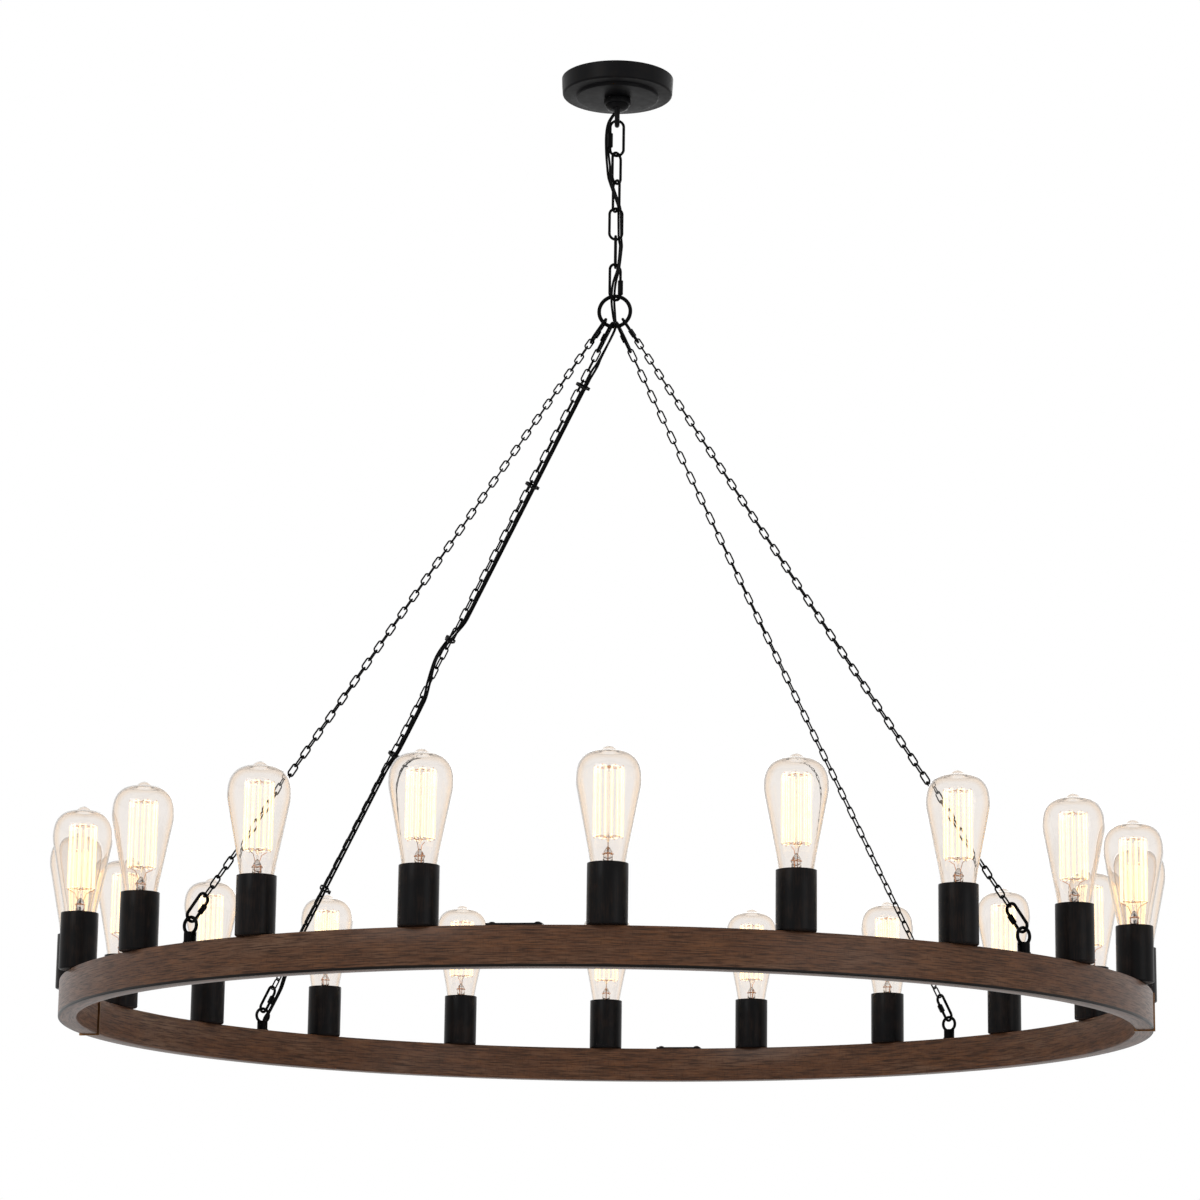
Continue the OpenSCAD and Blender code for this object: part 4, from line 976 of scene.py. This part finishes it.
    def filament(self, lamp):
        cage, loops = lamp.cage_radius, lamp.loops
        top, foot = -lamp.cage_top, -lamp.cage_foot
        core_gap, halo_gap, core_wire, halo_wire = 0.0006, 0.0012, 0.0009, 0.0030
        turns = [2 * pi * (k + 0.5) / loops for k in range(loops)]
        path = []
        for k, a in enumerate(turns):
            ends = [Vector((cage * cos(a), cage * sin(a), foot + core_gap)),
                    Vector((cage * cos(a), cage * sin(a), top - core_gap))]
            path += ends if k % 2 == 0 else reversed(ends)
        core = wire_along("core", path, core_wire, 8)
        paint(core, ("filament", "halo"), 0)
        halos = []
        for a in turns:
            ends = [Vector((cage * cos(a), cage * sin(a), top - halo_gap)),
                    Vector((cage * cos(a), cage * sin(a), foot + halo_gap))]
            halo = wire_along("halo", ends, halo_wire, 12)
            paint(halo, ("filament", "halo"), 1)
            halos.append(halo)
        return joined("bulb_filament", [core, *halos])


class CHANDELIER_OT_canopy(bpy.types.Operator):
    """Make the ceiling canopy, its collar ring and the loop under it"""
    bl_idname = "chandelier.canopy"
    bl_label = "Canopy"

    def execute(self, context):
        hanging = context.scene.chandelier_hanging
        self.cup(hanging)
        self.collar()
        self.loop(hanging)
        for node, finish in (("crossbar", "zinc"), ("nipple_nut", "zinc"), ("nipple", "brass"),
                             ("earth_screw", "earth")):
            finish_node(node, finish)
        return {"FINISHED"}

    def cup(self, hanging):
        r, w, e, f = canopy_high.x, hanging.canopy_wall, hanging.canopy_edge, hanging.disc_edge
        low = r - 0.001
        face = canopy_low.z + hanging.disc_drop
        d = hanging.disc_radius
        hole = (loop_high.x - loop_low.x) / 2 + 0.0007
        outline = [(r, 0.0), (r - 0.0004, face * 0.45),
                   *arc_points(low - e, face + e, e, 0, -90, 8),
                   *arc_points(d + 0.0008, face - 0.0008, 0.0008, 90, 180, 3),
                   *arc_points(d - f, canopy_low.z + f, f, 0, -90, 6),
                   (hole + 0.012, canopy_low.z), (hole, canopy_low.z), (hole, canopy_low.z + w),
                   *arc_points(d - f, canopy_low.z + f, f - w, -90, 0, 3), (d - w, face + w),
                   *arc_points(low - e, face + e, e - w, -90, 0, 4), (r - w, 0.0), (r, 0.0)]
        piece = lathe("canopy_cup", outline, 128)
        dress(piece, "canopy", "canopy", ["canopy"])

    def collar(self):
        r, h, z = collar_high.x, collar_high.z - collar_low.z, collar_low.z
        bore, e = (loop_high.x - loop_low.x) / 2 + 0.0003, 0.0015
        outline = [(bore, z + 0.0004), (bore + 0.0004, z), *arc_points(r - e, z + e, e, -90, 0, 5),
                   *arc_points(r - e, z + h - e, e, 0, 90, 5), (bore, z + h), (bore, z + 0.0004)]
        piece = lathe("collar_band", outline, 80)
        step = 2 * pi / 80
        select_points(piece, lambda co: hypot(co.x, co.y) > r - e
                      and round(atan2(co.y, co.x) / step) % 2 == 1)
        bpy.ops.transform.resize(value=(0.972, 0.972, 1), center_override=(0, 0, z))
        object_mode()
        dress(piece, "canopy", "collar", ["collar_ring"])

    def loop(self, hanging):
        r = (loop_high.x - loop_low.x) / 2
        top, neck = loop_high.z, 0.007
        body_foot = top - 0.022
        outline = [(0.005, top), (r - 0.0004, top), (r, top - 0.0004), (r, body_foot + 0.0012),
                   (r - 0.0008, body_foot + 0.0003), (neck + 0.002, body_foot - 0.0014),
                   (neck, body_foot - 0.002), (0.0035, body_foot - 0.002),
                   (0.0035, top - 0.012), (0.005, top - 0.012), (0.005, top)]
        body = lathe("loop_body", outline, 56)
        wire, bend = 0.006, 0.008
        middle = loop_low.z + wire / 2 + bend
        path = [Vector((0, -bend, body_foot - 0.001)), Vector((0, -bend, middle + 0.004))]
        path += [Vector((0, -bend * cos(radians(a)), middle - bend * sin(radians(a))))
                 for a in range(0, 181, 10)]
        path += [Vector((0, bend, middle + 0.004)), Vector((0, bend, body_foot - 0.001))]
        bow = wire_along("loop_bow", path, wire, 20)
        piece = joined("hanging_loop", [body, bow])
        dress(piece, "canopy", "root", ["canopy_loop"])


class CHANDELIER_OT_links(bpy.types.Operator):
    """Make the links of the centre run and finish the chains and their anchors"""
    bl_idname = "chandelier.links"
    bl_label = "Links and chains"

    def execute(self, context):
        hanging = context.scene.chandelier_hanging
        plain = oval_wire("plain_link", hanging.link_length, hanging.link_width,
                          hanging.link_wire, 28, 14)
        quick = oval_wire("quick_link", hanging.quick_length, hanging.quick_width,
                          hanging.quick_wire, 28, 14)
        for k, turn in enumerate(LINK_TURNS):
            self.hang(plain, f"link_{k + 1}", turn, f"link_{k + 1}")
        self.hang(quick, "quick_link_upper", 0.0, "upper_quick_link")
        self.hang(quick, "quick_link_lower", QUICK_TURN, "lower_quick_link")
        remove(plain, quick)
        for node, body, turn in (("quick_sleeve_upper", "upper_nut", 0.0),
                                 ("quick_sleeve_lower", "lower_nut", QUICK_TURN)):
            low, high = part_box(node)
            nut = hex_sleeve(f"{node}_nut", 0.0068, high.z - low.z)
            nut.data.transform(Matrix.Translation((low + high) / 2) @ turn_z(turn + 30))
            dress(nut, "chain", body, [node])
        ring = round_wire("hanging_ring", ring_radius(), hanging.ring_wire, 56, 18)
        ring.data.transform(Matrix.Translation((0, 0, (ring_high.z + ring_low.z) / 2))
                            @ turn_z(RING_TURN))
        dress(ring, "chain", "wheel", ["center_ring"])
        for node in ("chain_back_right", "chain_back_left", "chain_front_left",
                     "chain_front_right", "top_quick_links", "top_quick_sleeves",
                     "foot_quick_links", "foot_quick_sleeves", "eye_bolts", "eye_couplings"):
            finish_node(node, "chain")
        finish_node("cable_ties", "holder")
        return {"FINISHED"}

    def hang(self, link, node, turn, body):
        low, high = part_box(node)
        place = Matrix.Translation((0, 0, (low.z + high.z) / 2)) @ turn_z(turn)
        piece = turned_copy(link, f"{node}_wire", place)
        dress(piece, "chain", body, [node])


class CHANDELIER_PT_panel(bpy.types.Panel):
    """Settings and steps of the chandelier"""
    bl_idname = "CHANDELIER_PT_panel"
    bl_label = "Wagon wheel chandelier"
    bl_space_type = "VIEW_3D"
    bl_region_type = "UI"
    bl_category = "Chandelier"

    def draw(self, context):
        layout = self.layout
        for step in OPERATORS:
            layout.operator(step.bl_idname)
        for settings in ("chandelier_wheel", "chandelier_lamp", "chandelier_hanging",
                         "chandelier_stage"):
            box = layout.box()
            source = getattr(context.scene, settings)
            for name in source.__annotations__:
                box.prop(source, name)


SETTINGS = {
    "chandelier_wheel": CHANDELIER_PG_wheel,
    "chandelier_lamp": CHANDELIER_PG_lamp,
    "chandelier_hanging": CHANDELIER_PG_hanging,
    "chandelier_stage": CHANDELIER_PG_stage,
}
OPERATORS = (CHANDELIER_OT_stage, CHANDELIER_OT_lead, CHANDELIER_OT_wheel,
             CHANDELIER_OT_sockets, CHANDELIER_OT_bulbs, CHANDELIER_OT_canopy,
             CHANDELIER_OT_links)
CLASSES = (*SETTINGS.values(), *OPERATORS, CHANDELIER_PT_panel)


def register():
    for item in CLASSES:
        bpy.utils.register_class(item)
    for name, kind in SETTINGS.items():
        setattr(bpy.types.Scene, name, PointerProperty(type=kind))


def unregister():
    for name in SETTINGS:
        delattr(bpy.types.Scene, name)
    for item in reversed(CLASSES):
        bpy.utils.unregister_class(item)


def main():
    register()
    make_finishes()
    for step in ("stage", "lead", "wheel", "sockets", "bulbs", "canopy", "links"):
        getattr(bpy.ops.chandelier, step)()


if __name__ == "__main__":
    main()
